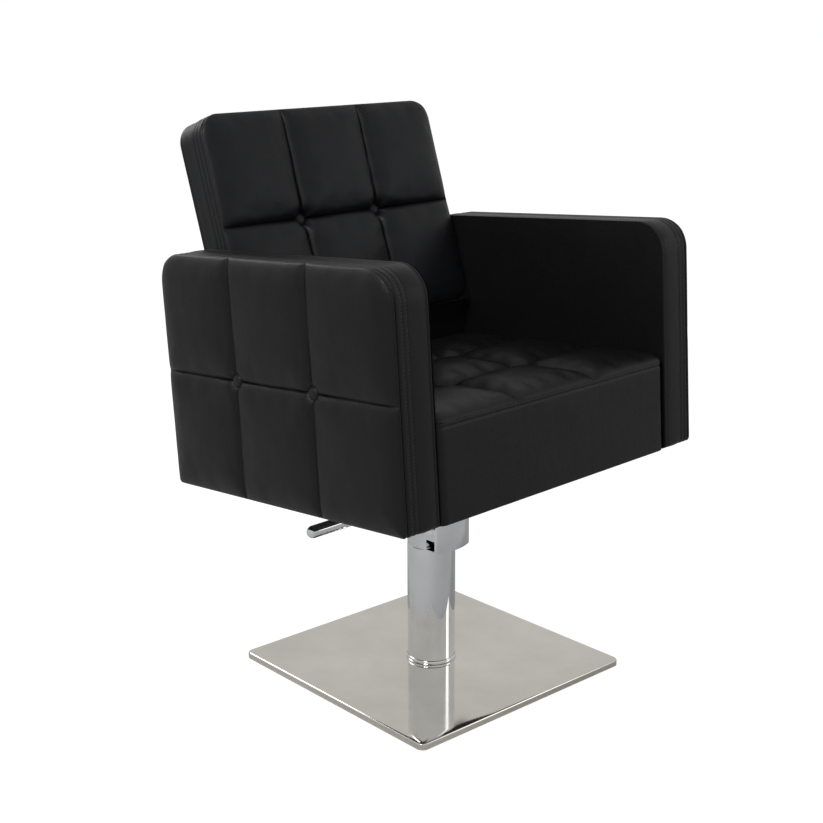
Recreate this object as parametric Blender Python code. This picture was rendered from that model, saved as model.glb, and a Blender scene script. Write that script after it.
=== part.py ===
"""Styling chair: a tufted square tub seat on a hydraulic column and a square floor plate.

Metres, +Z up, -Y is the sitter's front. The origin is on the floor, on the column's axis.
The upholstered body leans back a few degrees on its mounting plate.
"""
import math

import bpy
import bmesh
from mathutils import Matrix, Vector

# ---------------------------------------------------------------- driving sizes
CLEARANCE = 0.0003          # between pieces that touch
ROUND_STEPS = 36            # sides of a large turned piece
SMALL_STEPS = 12            # sides of a bolt, pin or button
LEVER_STEPS = 24            # sides of the lever's rod and boss
OVERCUT = 0.001             # how far a cutter runs past the face that it opens

BASE_SIDE = 0.450
BASE_CORNER = 0.012
BASE_YAW = math.radians(-3.0)      # the seat is photographed a little off the plate's square
FLOOR_PAD_THICK = 0.002
FLOOR_PAD_INSET = 0.012
PLATE_THICK = 0.0075
COVER_WALL = 0.0015
COVER_ROUND = 0.003
COVER_LIFT = 0.001                 # the cover's skirt above the floor
COVER_HOLE_GAP = 0.001             # round the pump cylinder

SLEEVE_R = 0.040
SLEEVE_WALL = 0.002
SLEEVE_TOP = 0.2165
RING_WALL = 0.0018
RING_HEIGHT = 0.006

CYLINDER_R = 0.032
CYLINDER_BORE_R = 0.0225
CYLINDER_FLOOR = 0.014
PUMP_BOLT_COUNT = 3
PUMP_BOLT_CIRCLE = 0.018
PUMP_BOLT_R = 0.004
PUMP_BOLT_HEAD_R = 0.0075
PUMP_BOLT_HEAD_H = 0.004
PUMP_BOLT_DEPTH = 0.009            # thread length in the cylinder's floor

RAM_R = 0.016
RAM_FOOT_R = 0.0205
RAM_FOOT_H = 0.008
PISTON_H = 0.020
SEAL_H = 0.006
SEAL_DEPTH = 0.003
BUSH_WALL = 0.004
RUNNING_FIT = 0.0003
WIPER_WALL = 0.006
WIPER_H = 0.0055
WIPER_PROUD = 0.001
LIFT_STROKE = 0.150
STOP_GAP = 0.003                   # left over the ram's foot at full height
BUSH_SHELF = 0.002

HEAD_R = 0.0398
HEAD_ROUND_HEIGHT = 0.0272         # the round part, under the top block
HEAD_BORE_GAP = 0.002              # between the ram and the head's own bore
HEAD_BLOCK_THICK = 0.014
HEAD_BLOCK_LEFT = 0.0425
HEAD_BLOCK_RIGHT = 0.046
HEAD_BLOCK_CORNER = 0.010
HOUSING_HALF = 0.038               # front housing, half its width
HOUSING_LIFT = 0.001               # its lower edge above the sleeve's
HOUSING_ROOT = 0.004               # its rear face, inside the round part
HOUSING_EDGE = 0.0500              # its sides reach this far forward of the axis
HOUSING_BULGE = 0.0085             # its front face bows out by this much more
HOUSING_ARC_STEPS = 10
HOUSING_WALL_LIFT = 0.0385          # its front wall stands this much above the top block
HOUSING_WALL_GAP = 0.002           # between the wall and the lugs
WINDOW_DEPTH = 0.026
WINDOW_NEAR = 0.0260               # the window's edges, forward of the axis
WINDOW_FAR = 0.0445
WINDOW_LIFT = 0.0027
WINDOW_HEIGHT = 0.017

LEVER_LIFT = 0.043                 # the hinge pin above the top block
PIN_X = 0.036
PIN_R = 0.004
LUG_THICK = 0.008
LUG_HALF_LENGTH = 0.008
LUG_ROOT = 0.004                   # how deep the lugs start in the block
YOKE_HALF = 0.036                  # half its width over the cheeks
YOKE_CORNER = 0.006
YOKE_SLOT_HALF = 0.0225
YOKE_SLOT_GAP = 0.007              # between the ram and the slot's ends
YOKE_THICK = 0.014
YOKE_LEFT = 0.048
YOKE_BOSS_R = 0.0145
YOKE_BOSS_LEFT = 0.070
YOKE_BOSS_ROOT = 0.002             # how deep the boss starts in the yoke; clears the pressed plunger
LEVER_ROD_R = 0.010
LEVER_ROD_ROOT = 0.004             # the rod's end, left of the yoke's edge
LEVER_TIP_X = 0.268
LEVER_STROKE = math.radians(13.0)
PLUNGER_X = 0.031
PLUNGER_R = 0.005
PLUNGER_GUIDED = 0.0175            # its length inside the head, lever up
PLUNGER_BORE_LIFT = 0.0045         # the bore's floor above the head's underside
PLUNGER_CAP_R = 0.008
PLUNGER_CAP_H = 0.005
PLUNGER_TIP_R = 0.002              # the flat that the yoke presses
SPRING_WIRE = 0.0018
SPRING_FIT = 0.0004
SPRING_POCKET_DEPTH = 0.0075
SPRING_POCKET_R = 0.0085
SPRING_TURNS = 6
SPRING_STEPS = 8

SEAT_LEAN = math.radians(4.08)
MOUNT_HALF_X = 0.100
MOUNT_HALF_Y = 0.095
MOUNT_THICK = 0.006
MOUNT_CORNER = 0.012
HUB_R = 0.028
HUB_GAP = 0.0045                   # over the yoke
HUB_HEIGHT = 0.0465                # from its lower face to the upholstered body
HUB_BORE_DEPTH = 0.0325
MOUNT_BOLT_SPACING = 0.080         # from the centre, each way
MOUNT_BOLT_R = 0.004
MOUNT_BOLT_HEAD_R = 0.0075
MOUNT_BOLT_HEAD_H = 0.005
MOUNT_BOLT_REACH = 0.015           # into the seat board

BODY_FRONT = 0.277                 # front plane, ahead of the column
ARM_DEPTH = 0.517
ARM_HEIGHT = 0.368
ARM_INNER = 0.261                  # inner faces, from the middle
ARM_SEAM = 0.3245                  # the seam between the band and the outer pad
ARM_TOP_RADIUS = 0.048
ARM_BOTTOM_RADIUS = 0.008
ARM_COVER_WALL = 0.010
ARM_EDGE_ROUND = 0.006
ARM_PAD_CROWN = 0.0145
ARM_PAD_EDGE = 0.003
ARM_PAD_SINK = 0.002
ARM_BOLT_Y = (-0.130, 0.100)
ARM_BOLT_R = 0.004
ARM_BOLT_HEAD_R = 0.0075
ARM_BOLT_HEAD_H = 0.005
ARM_BOLT_REACH = 0.018             # into the arm's frame

BOARD_THICK = 0.018
BOARD_FRONT_INSET = 0.015
RAIL_WIDTH = 0.036
RAIL_HEIGHT = 0.050
RAIL_FRONT = -0.200
RAIL_REAR = 0.150
SEAT_REAR = 0.161
SEAT_ROWS = (-0.125, 0.028)        # the cross channels, ahead of and behind the column
SEAT_SEAM_Z = 0.1465
SEAT_CORNER = 0.010
SEAT_CROWN = 0.018
SEAT_EDGE = 0.001
SEAT_SINK = -0.012
BOLT_POCKET = 0.012                # room in the cushion for the arm bolts' heads

BACK_WIDTH = 0.497
BACK_HEIGHT = 0.358
BACK_THICK = 0.052
BACK_FOOT_Y = 0.136                # the pad's lower front edge, in the seat's frame
BACK_FOOT_Z = 0.225
BACK_LEAN = math.radians(13.7)     # on top of the body's own lean
BACK_TOP_RADIUS = 0.036
BACK_BOTTOM_RADIUS = 0.028
BACK_CROWN = 0.014
BACK_EDGE = 0.003
BACK_SINK = -0.012
BACK_SEAM_SET = 0.004              # the seam lies this far behind the front plane
BACK_WALL = 0.012
BACK_BOARD_THICK = 0.012
BACK_COVER_THICK = 0.008
BRACKET_X = 0.150
BRACKET_WIDTH = 0.040
BRACKET_THICK = 0.005
BRACKET_REACH = 0.110              # length of the leg that lies on the back's board
BACK_BOLT_R = 0.003
BACK_BOLT_HEAD_R = 0.006
BACK_BOLT_HEAD_H = 0.003
BACK_BOLT_UP = 0.075               # up the leaning leg
BACK_BOLT_REACH = 0.0084           # into the back's board
FOOT_BOLT_REACH = 0.030            # into the seat board
BACK_COVER_INSET = 0.001
BRACKET_ROOM = 0.002               # round a bracket in the pad's lower wall
REAR_PANEL_THICK = 0.020
REAR_PANEL_ROUND = 0.006
REAR_PANEL_GAP = CLEARANCE         # under the back
INNER_PANEL_THICK = 0.012

BUTTON_R = 0.0105
BUTTON_H = 0.0065
TUFT_FLAT = 0.0125                 # half width of the flat under a button
TUFT_ROUND = 0.045                 # how far a cell's shoulder reaches from its channel
TUFT_PUCKER = 0.060                # how far a button's pull reaches into the cells round it

# ---------------------------------------------------------------- derived places
PLATE_BOTTOM = FLOOR_PAD_THICK + CLEARANCE
PLATE_TOP = PLATE_BOTTOM + PLATE_THICK
COVER_TOP = PLATE_TOP + CLEARANCE + COVER_WALL
SLEEVE_BOTTOM = COVER_TOP + CLEARANCE
CYLINDER_BOTTOM = PLATE_TOP + CLEARANCE
PISTON_BOTTOM = CYLINDER_BOTTOM + CYLINDER_FLOOR + CLEARANCE
RAM_BOTTOM = PISTON_BOTTOM + PISTON_H + CLEARANCE
HEAD_BOTTOM = SLEEVE_TOP + CLEARANCE
BUSH_R = RAM_R + RUNNING_FIT + BUSH_WALL
WIPER_R = RAM_R + RUNNING_FIT + WIPER_WALL
SPIGOT_BOTTOM = RAM_BOTTOM + RAM_FOOT_H + LIFT_STROKE + STOP_GAP
BUSH_BOTTOM = SPIGOT_BOTTOM + BUSH_SHELF
HOUSING_BOTTOM = HEAD_BOTTOM + HOUSING_LIFT
WINDOW_BOTTOM = HEAD_BOTTOM + WINDOW_LIFT
HEAD_BLOCK_BOTTOM = HEAD_BOTTOM + HEAD_ROUND_HEIGHT
HEAD_BLOCK_TOP = HEAD_BLOCK_BOTTOM + HEAD_BLOCK_THICK
WIPER_BOTTOM = HEAD_BLOCK_TOP - WIPER_H + WIPER_PROUD
LEVER_Z = HEAD_BLOCK_TOP + LEVER_LIFT
ARM_CENTRE_Y = ARM_DEPTH / 2 - BODY_FRONT
SEAT_HALF = ARM_INNER - CLEARANCE
PLUNGER_TOP = LEVER_Z - YOKE_THICK / 2 - CLEARANCE
PLUNGER_FOOT_Z = HEAD_BLOCK_TOP - PLUNGER_GUIDED
PLUNGER_CAP_DROP = PLUNGER_CAP_R * math.tan(LEVER_STROKE) + CLEARANCE   # its rim clears the tilted yoke
SPRING_SEAT_Z = HEAD_BLOCK_TOP - SPRING_POCKET_DEPTH
HUB_BOTTOM = LEVER_Z + YOKE_THICK / 2 + HUB_GAP
HUB_BORE_TOP = HUB_BOTTOM + HUB_BORE_DEPTH
SEAT_BASE_Z = HUB_BOTTOM + HUB_HEIGHT      # underside of the upholstered body, above the column
RAIL_BOTTOM = BOARD_THICK + CLEARANCE
ARM_BOLT_Z = RAIL_BOTTOM + RAIL_HEIGHT / 2
FOOT_BOLT_Z = BOARD_THICK / 2
BRACKET_Y = SEAT_REAR + INNER_PANEL_THICK + CLEARANCE * 2      # front face of the upright leg
BACK_REAR_DEPTH = BACK_SEAM_SET + BACK_THICK
BOARD_REAR_DEPTH = BACK_REAR_DEPTH - BRACKET_THICK - BACK_BOLT_HEAD_H - CLEARANCE * 3
BOARD_FRONT_DEPTH = BOARD_REAR_DEPTH - BACK_BOARD_THICK
BRACKET_DEPTH = BOARD_REAR_DEPTH + CLEARANCE
RAM_TOP = HUB_BORE_TOP - CLEARANCE

for stale in list(bpy.data.objects):
    bpy.data.objects.remove(stale, do_unlink=True)


# ---------------------------------------------------------------- materials
def material(name, colour, roughness, metallic=0.0):
    made = bpy.data.materials.new(name)
    made.use_nodes = True
    shader = made.node_tree.nodes["Principled BSDF"]
    shader.inputs["Base Color"].default_value = (*colour, 1.0)
    shader.inputs["Roughness"].default_value = roughness
    shader.inputs["Metallic"].default_value = metallic
    made.diffuse_color = (*colour, 1.0)
    return made


LEATHER = material("black_leather", (0.018, 0.018, 0.020), 0.45)
CHROME = material("chrome", (0.78, 0.79, 0.80), 0.08, 1.0)
STAINLESS = material("satin_stainless", (0.60, 0.58, 0.55), 0.28, 1.0)
STEEL = material("bare_steel", (0.42, 0.42, 0.43), 0.40, 1.0)
BLACK_STEEL = material("black_enamelled_steel", (0.03, 0.03, 0.03), 0.45)
BRONZE = material("bronze", (0.60, 0.42, 0.22), 0.35, 1.0)
RUBBER = material("black_rubber", (0.02, 0.02, 0.02), 0.80)
PLYWOOD = material("plywood", (0.55, 0.38, 0.22), 0.70)
BLACK_BOARD = material("black_board", (0.03, 0.03, 0.03), 0.80)


# ---------------------------------------------------------------- building tools
def empty(name, location=(0, 0, 0), rotation=(0, 0, 0), parent=None):
    made = bpy.data.objects.new(name, None)
    made.location = location
    made.rotation_euler = rotation
    made.parent = parent
    bpy.context.collection.objects.link(made)
    return made


def solid(name, verts, faces, look, parent=None, location=(0, 0, 0), rotation=(0, 0, 0)):
    mesh = bpy.data.meshes.new(name)
    mesh.from_pydata([tuple(v) for v in verts], [], faces)
    work = bmesh.new()
    work.from_mesh(mesh)
    bmesh.ops.recalc_face_normals(work, faces=work.faces)
    work.to_mesh(mesh)
    work.free()
    mesh.materials.append(look)
    mesh.shade_smooth()
    mesh.set_sharp_from_angle(angle=math.radians(35))
    made = bpy.data.objects.new(name, mesh)
    made.location = location
    made.rotation_euler = rotation
    made.parent = parent
    bpy.context.collection.objects.link(made)
    return made


def loft(name, rings, look, closed=False, **place):
    """Skin through rings of equal point count; ends are capped unless the rings close on themselves."""
    count = len(rings[0])
    verts = [point for ring in rings for point in ring]
    faces = []
    last = len(rings) if closed else len(rings) - 1
    for level in range(last):
        here = level * count
        above = ((level + 1) % len(rings)) * count
        for k in range(count):
            after = (k + 1) % count
            faces.append((here + k, here + after, above + after, above + k))
    if not closed:
        faces.append(tuple(range(count)))
        faces.append(tuple(range((len(rings) - 1) * count, len(rings) * count)))
    return solid(name, verts, faces, look, **place)


def circle(radius, z, steps):
    turn = math.tau / steps
    return [(radius * math.cos(turn * k), radius * math.sin(turn * k), z) for k in range(steps)]


def turned(name, profile, look, steps=ROUND_STEPS, closed=False, **place):
    """A solid of revolution about Z from (radius, z) pairs."""
    return loft(name, [circle(r, z, steps) for r, z in profile], look, closed, **place)


def tube(name, inner, outer, bottom, top, look, **place):
    profile = [(outer, bottom), (outer, top), (inner, top), (inner, bottom)]
    return turned(name, profile, look, closed=True, **place)


def rounded_outline(half_u, half_v, top_radius, bottom_radius, inset=0.0, steps=6):
    """A rectangle with rounded corners, counter-clockwise from its lower right corner."""
    corners = ((1, -1, bottom_radius), (1, 1, top_radius), (-1, 1, top_radius), (-1, -1, bottom_radius))
    points = []
    for index, (side_u, side_v, radius) in enumerate(corners):
        r = max(radius - inset, 0.0005)
        centre_u = side_u * (half_u - inset - r)
        centre_v = side_v * (half_v - inset - r)
        start = math.radians(-90 + 90 * index)
        for k in range(steps + 1):
            angle = start + math.radians(90) * k / steps
            points.append((centre_u + r * math.cos(angle), centre_v + r * math.sin(angle)))
    return points


def at_height(points, z):
    return [(u, v, z) for u, v in points]


def box(name, low, high, look, **place):
    (x0, y0, z0), (x1, y1, z1) = low, high
    lower = [(x0, y0, z0), (x1, y0, z0), (x1, y1, z0), (x0, y1, z0)]
    upper = [(x, y, z1) for x, y, _ in lower]
    return loft(name, [lower, upper], look, **place)


def tube_cutter(name, radius, bottom, top, steps=ROUND_STEPS, **place):
    return turned(name, [(radius, bottom), (radius, top)], STEEL, steps, **place)


def hide_tool(tool):
    tool.hide_render = True
    tool.display_type = "WIRE"
    return tool


def boolean(target, tool, operation="DIFFERENCE"):
    modifier = target.modifiers.new(operation.lower(), "BOOLEAN")
    modifier.operation = operation
    modifier.solver = "EXACT"
    modifier.object = hide_tool(tool)


# Turned pieces and cutters that lie along X or Y are made along Z and then turned.
ALONG_PLUS_X = (0, math.radians(90), 0)
ALONG_MINUS_X = (0, math.radians(-90), 0)
ALONG_PLUS_Y = (math.radians(-90), 0, 0)
ALONG_MINUS_Y = (math.radians(90), 0, 0)


def bolt(name, shank_r, length, head_r, head_h, look, **place):
    """A plain round-head bolt: its head's seat is at z 0 and the shank runs up +Z."""
    profile = [(head_r * 0.8, -head_h), (head_r, -head_h * 0.6), (head_r, 0), (shank_r, 0), (shank_r, length)]
    return turned(name, profile, look, SMALL_STEPS, **place)


def bolt_hole(name, shank_r, low, high, **place):
    hole_r = shank_r + CLEARANCE
    return turned(name, [(hole_r, low), (hole_r, high)], STEEL, SMALL_STEPS, **place)


# ---------------------------------------------------------------- tufted upholstery
def quarter_round(distance, reach):
    share = min(max(distance / reach, 0.0), 1.0)
    return math.sqrt(1 - (1 - share) ** 2)


def grid_lines(half, channels, corner):
    """Lines of the surface grid: close together at the borders, corners and channels."""
    stops = [-half] + list(channels) + [half]
    lines = {-half, half}
    for stop in stops:
        for offset in (0.0, TUFT_FLAT, TUFT_ROUND * 0.55, TUFT_ROUND):
            lines.update((stop - offset, stop + offset))
    for share in (1 / 3, 2 / 3, 1):
        lines.update((half - corner * share, -half + corner * share))
    for first, second in zip(stops, stops[1:]):
        lines.add((first + second) / 2)
    kept = []
    for line in sorted(lines):
        inside = -half - 1e-9 <= line <= half + 1e-9
        if inside and (not kept or line - kept[-1] > 0.004):
            kept.append(line)
    kept[-1] = half
    return kept


def into_corner(u, v, half_u, half_v, radius):
    """Draw a point of a square corner in to the rounded corner, ring by ring."""
    off_u = abs(u) - (half_u - radius)
    off_v = abs(v) - (half_v - radius)
    if off_u <= 0 or off_v <= 0:
        return u, v
    scale = max(off_u, off_v) / math.hypot(off_u, off_v)
    new_u = half_u - radius + off_u * scale
    new_v = half_v - radius + off_v * scale
    return math.copysign(new_u, u), math.copysign(new_v, v)


def tufted_pad(name, half_u, half_v, top_radius, bottom_radius, columns, rows, shape, **place):
    """A pad with channels and sunk tufts; its seam plane is z 0 and its body runs down to z -depth."""
    edge, crown, sink, depth, drawn_in = shape
    lines_u = grid_lines(half_u, columns, max(top_radius, bottom_radius))
    lines_v = grid_lines(half_v, rows, max(top_radius, bottom_radius))
    stops_u = [-half_u] + list(columns) + [half_u]
    stops_v = [-half_v] + list(rows) + [half_v]

    def height(u, v):
        near_u = min(abs(u - stop) for stop in stops_u)
        near_v = min(abs(v - stop) for stop in stops_v)
        pull, pucker = 0.0, 1.0
        for tuft_u in columns:
            for tuft_v in rows:
                off_u, off_v = abs(u - tuft_u), abs(v - tuft_v)
                if max(off_u, off_v) < TUFT_FLAT + 1e-6:
                    return sink
                pucker = min(pucker, quarter_round(math.hypot(off_u, off_v) - TUFT_FLAT * 0.8, TUFT_PUCKER))
                reach_u = half_u - abs(tuft_u)
                reach_v = half_v - abs(tuft_v)
                pull = max(pull, max(0, 1 - off_u / reach_u) * max(0, 1 - off_v / reach_v))
        channel = edge + (sink - edge) * pull
        swell = quarter_round(near_u, TUFT_ROUND) * quarter_round(near_v, TUFT_ROUND) * pucker
        return channel + (crown - channel) * swell

    verts, index = [], {}
    for i, u in enumerate(lines_u):
        for j, v in enumerate(lines_v):
            radius = top_radius if v > 0 else bottom_radius
            x, y = into_corner(u, v, half_u, half_v, radius)
            index[i, j] = len(verts)
            verts.append((x, y, height(u, v)))
    last_i, last_j = len(lines_u) - 1, len(lines_v) - 1
    faces = [(index[i, j], index[i + 1, j], index[i + 1, j + 1], index[i, j + 1])
             for i in range(last_i) for j in range(last_j)]
    border = [(i, 0) for i in range(last_i)] + [(last_i, j) for j in range(last_j)]
    border += [(i, last_j) for i in range(last_i, 0, -1)] + [(0, j) for j in range(last_j, 0, -1)]
    ring = [index[key] for key in border]
    levels = [(-depth * 0.5, drawn_in), (-depth, 0.0)] if drawn_in else [(-depth, 0.0)]
    for z, inset in levels:
        lower = []
        for number in [index[key] for key in border]:
            x, y, _ = verts[number]
            lower.append(len(verts))
            verts.append((x * (1 - inset / half_u), y * (1 - inset / half_v), z))
        for k in range(len(ring)):
            after = (k + 1) % len(ring)
            faces.append((ring[k], ring[after], lower[after], lower[k]))
        ring = lower
    faces.append(tuple(ring))
    return solid(name, verts, faces, LEATHER, **place)


def button(name, **place):
    """A covered button: a low dome with its flat underside at z 0."""
    profile = [(BUTTON_R * 0.86, 0), (BUTTON_R, BUTTON_H * 0.3), (BUTTON_R * 0.9, BUTTON_H * 0.62),
               (BUTTON_R * 0.6, BUTTON_H * 0.9), (BUTTON_R * 0.2, BUTTON_H)]
    return turned(name, profile, LEATHER, SMALL_STEPS, **place)


# ---------------------------------------------------------------- base and pump
base = empty("base_axis", rotation=(0, 0, BASE_YAW))
column = empty("column_axis")


def base_outline(inset, corner=BASE_CORNER):
    return rounded_outline(BASE_SIDE / 2, BASE_SIDE / 2, corner, corner, inset, steps=4)


def make_base():
    pad_ring = base_outline(FLOOR_PAD_INSET)
    loft("floor_pad", [at_height(pad_ring, 0), at_height(pad_ring, FLOOR_PAD_THICK)], RUBBER, parent=base)

    plate_ring = base_outline(COVER_WALL + CLEARANCE)
    plate = loft("base_plate", [at_height(plate_ring, PLATE_BOTTOM), at_height(plate_ring, PLATE_TOP)],
                 STEEL, parent=base)

    under = PLATE_TOP + CLEARANCE
    rounding = [(COVER_ROUND * (1 - math.cos(a)), COVER_TOP - COVER_ROUND * (1 - math.sin(a)))
                for a in (0, math.radians(30), math.radians(60), math.radians(90))]
    rings = [at_height(base_outline(COVER_WALL), under), at_height(base_outline(COVER_WALL), COVER_LIFT),
             at_height(base_outline(0), COVER_LIFT)]
    rings += [at_height(base_outline(inset), z) for inset, z in rounding]
    cover = loft("base_cover", rings, STAINLESS, parent=base)
    boolean(cover, tube_cutter("cover_hole", CYLINDER_R + COVER_HOLE_GAP, under - OVERCUT, COVER_TOP + OVERCUT))

    for number in range(PUMP_BOLT_COUNT):
        turn = math.tau * number / PUMP_BOLT_COUNT
        spot = (PUMP_BOLT_CIRCLE * math.cos(turn), PUMP_BOLT_CIRCLE * math.sin(turn), 0)
        low = PLATE_BOTTOM + CLEARANCE
        neck = low + PUMP_BOLT_HEAD_H
        tip = CYLINDER_BOTTOM + PUMP_BOLT_DEPTH
        turned(f"pump_bolt_{number + 1}",
               [(PUMP_BOLT_HEAD_R, low), (PUMP_BOLT_R, neck), (PUMP_BOLT_R, tip)],
               STEEL, SMALL_STEPS, parent=column, location=spot)
        sink = turned(f"countersink_{number + 1}",
                      [(PUMP_BOLT_HEAD_R + CLEARANCE * 2, PLATE_BOTTOM - OVERCUT),
                       (PUMP_BOLT_HEAD_R + CLEARANCE, low),
                       (PUMP_BOLT_R + CLEARANCE, neck + CLEARANCE), (PUMP_BOLT_R + CLEARANCE, PLATE_TOP + OVERCUT)],
                      STEEL, SMALL_STEPS, parent=column, location=spot)
        boolean(plate, sink)


def make_column():
    tube("column_sleeve", SLEEVE_R - SLEEVE_WALL, SLEEVE_R, SLEEVE_BOTTOM, SLEEVE_TOP, CHROME, parent=column)
    inner = SLEEVE_R + CLEARANCE
    outer = inner + RING_WALL
    bottom, top = SLEEVE_BOTTOM, SLEEVE_BOTTOM + RING_HEIGHT
    turned("column_ring", [(inner, bottom), (outer, bottom), (outer, top - RING_WALL),
                           (outer - RING_WALL * 0.4, top - RING_WALL * 0.3), (inner, top)],
           CHROME, closed=True, parent=column)

    floor = CYLINDER_BOTTOM + CYLINDER_FLOOR
    cylinder = turned("pump_cylinder",
                      [(CYLINDER_R, CYLINDER_BOTTOM), (CYLINDER_R, SLEEVE_TOP), (CYLINDER_BORE_R, SLEEVE_TOP),
                       (CYLINDER_BORE_R, floor)], STEEL, parent=column)
    for number in range(PUMP_BOLT_COUNT):
        turn = math.tau * number / PUMP_BOLT_COUNT
        spot = (PUMP_BOLT_CIRCLE * math.cos(turn), PUMP_BOLT_CIRCLE * math.sin(turn), 0)
        boolean(cylinder, bolt_hole(f"cylinder_thread_{number + 1}", PUMP_BOLT_R, CYLINDER_BOTTOM - OVERCUT,
                                    CYLINDER_BOTTOM + PUMP_BOLT_DEPTH + CLEARANCE, parent=column, location=spot))


def make_pump_head():
    """The head casting: a spigot and round lower part, the front housing, the top block and two lugs."""
    lip_r = RAM_R + HEAD_BORE_GAP
    body = turned("pump_head",
                  [(CYLINDER_BORE_R - CLEARANCE, SPIGOT_BOTTOM), (CYLINDER_BORE_R - CLEARANCE, HEAD_BOTTOM),
                   (HEAD_R, HEAD_BOTTOM), (HEAD_R, HEAD_BLOCK_BOTTOM + HEAD_BLOCK_THICK / 2)], CHROME, parent=column)

    # The housing's front bows out; it starts inside the round part.
    arc = []
    for k in range(HOUSING_ARC_STEPS + 1):
        share = 2 * k / HOUSING_ARC_STEPS - 1
        arc.append((HOUSING_HALF * share, -HOUSING_EDGE - HOUSING_BULGE * (1 - share * share)))
    housing_ring = arc + [(HOUSING_HALF, -HOUSING_ROOT), (-HOUSING_HALF, -HOUSING_ROOT)]
    housing = loft("housing_block",
                   [at_height(housing_ring, HOUSING_BOTTOM), at_height(housing_ring, HEAD_BLOCK_TOP)],
                   CHROME, parent=column)
    boolean(body, housing, "UNION")

    lug_outer = YOKE_HALF + CLEARANCE + LUG_THICK
    wall_rear = -lug_outer - HOUSING_WALL_GAP
    wall_ring = arc + [(HOUSING_HALF, wall_rear), (-HOUSING_HALF, wall_rear)]
    wall = loft("housing_wall", [at_height(wall_ring, HEAD_BLOCK_BOTTOM),
                                 at_height(wall_ring, HEAD_BLOCK_TOP + HOUSING_WALL_LIFT)], CHROME, parent=column)
    boolean(body, wall, "UNION")
    middle = (HEAD_BLOCK_RIGHT - HEAD_BLOCK_LEFT) / 2
    half = (HEAD_BLOCK_RIGHT + HEAD_BLOCK_LEFT) / 2
    block_ring = [(u + middle, v) for u, v in rounded_outline(half, lug_outer, HEAD_BLOCK_CORNER, HEAD_BLOCK_CORNER)]
    block = loft("top_block", [at_height(block_ring, HEAD_BLOCK_BOTTOM), at_height(block_ring, HEAD_BLOCK_TOP)],
                 CHROME, parent=column)
    boolean(body, block, "UNION")
    lug_profile = [(PIN_X + along, HEAD_BLOCK_TOP - LUG_ROOT) for along in (-LUG_HALF_LENGTH, LUG_HALF_LENGTH)]
    lug_profile += [(PIN_X + LUG_HALF_LENGTH * math.cos(a), LEVER_Z + LUG_HALF_LENGTH * math.sin(a))
                    for a in [math.pi * k / 8 for k in range(9)]]
    for side, label in ((-1, "front"), (1, "rear")):
        near, far = side * (YOKE_HALF + CLEARANCE), side * lug_outer
        rings = [[(x, y, z) for x, z in lug_profile] for y in (near, far)]
        boolean(body, loft(f"lug_{label}", rings, CHROME, parent=column), "UNION")

    boolean(body, tube_cutter("ram_passage", lip_r, SPIGOT_BOTTOM - OVERCUT, HEAD_BLOCK_TOP + OVERCUT, parent=column))
    boolean(body, tube_cutter("bush_pocket", BUSH_R + CLEARANCE, BUSH_BOTTOM, HEAD_BLOCK_TOP + OVERCUT, parent=column))
    boolean(body, tube_cutter("wiper_pocket", WIPER_R + CLEARANCE, WIPER_BOTTOM - CLEARANCE,
                              HEAD_BLOCK_TOP + OVERCUT * 2, parent=column))
    boolean(body, box("housing_window", (-HOUSING_HALF - OVERCUT, -WINDOW_FAR, WINDOW_BOTTOM),
                      (-HOUSING_HALF + WINDOW_DEPTH, -WINDOW_NEAR, WINDOW_BOTTOM + WINDOW_HEIGHT), CHROME,
                      parent=column))
    boolean(body, tube_cutter("plunger_bore", PLUNGER_R + CLEARANCE, HEAD_BOTTOM + PLUNGER_BORE_LIFT, HEAD_BLOCK_TOP,
                              SMALL_STEPS, parent=column, location=(-PLUNGER_X, 0, 0)))
    boolean(body, tube_cutter("spring_pocket", SPRING_POCKET_R, SPRING_SEAT_Z - CLEARANCE, HEAD_BLOCK_TOP + OVERCUT,
                              SMALL_STEPS, parent=column, location=(-PLUNGER_X, 0, 0)))
    boolean(body, tube_cutter("pin_bore", PIN_R + CLEARANCE, -lug_outer - OVERCUT, lug_outer + OVERCUT, SMALL_STEPS,
                              parent=column, location=(PIN_X, 0, LEVER_Z), rotation=ALONG_PLUS_Y))

    tube("guide_bush", RAM_R + RUNNING_FIT, BUSH_R, BUSH_BOTTOM + CLEARANCE, WIPER_BOTTOM - CLEARANCE * 2,
         BRONZE, parent=column)
    tube("wiper_seal", RAM_R + RUNNING_FIT, WIPER_R, WIPER_BOTTOM, WIPER_BOTTOM + WIPER_H, RUBBER, parent=column)
    turned("lever_pin", [(PIN_R, -lug_outer), (PIN_R, lug_outer)], STEEL, SMALL_STEPS,
           parent=column, location=(PIN_X, 0, LEVER_Z), rotation=ALONG_PLUS_Y)


def make_piston():
    outer = CYLINDER_BORE_R - RUNNING_FIT
    top = PISTON_BOTTOM + PISTON_H
    middle = PISTON_BOTTOM + PISTON_H / 2
    groove = outer - SEAL_DEPTH
    turned("piston", [(outer, PISTON_BOTTOM), (outer, middle - SEAL_H / 2), (groove, middle - SEAL_H / 2),
                      (groove, middle + SEAL_H / 2), (outer, middle + SEAL_H / 2), (outer, top)],
           STEEL, parent=column)
    tube("piston_seal", groove + CLEARANCE, outer, middle - SEAL_H / 2 + CLEARANCE,
         middle + SEAL_H / 2 - CLEARANCE, RUBBER, parent=column)


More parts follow.
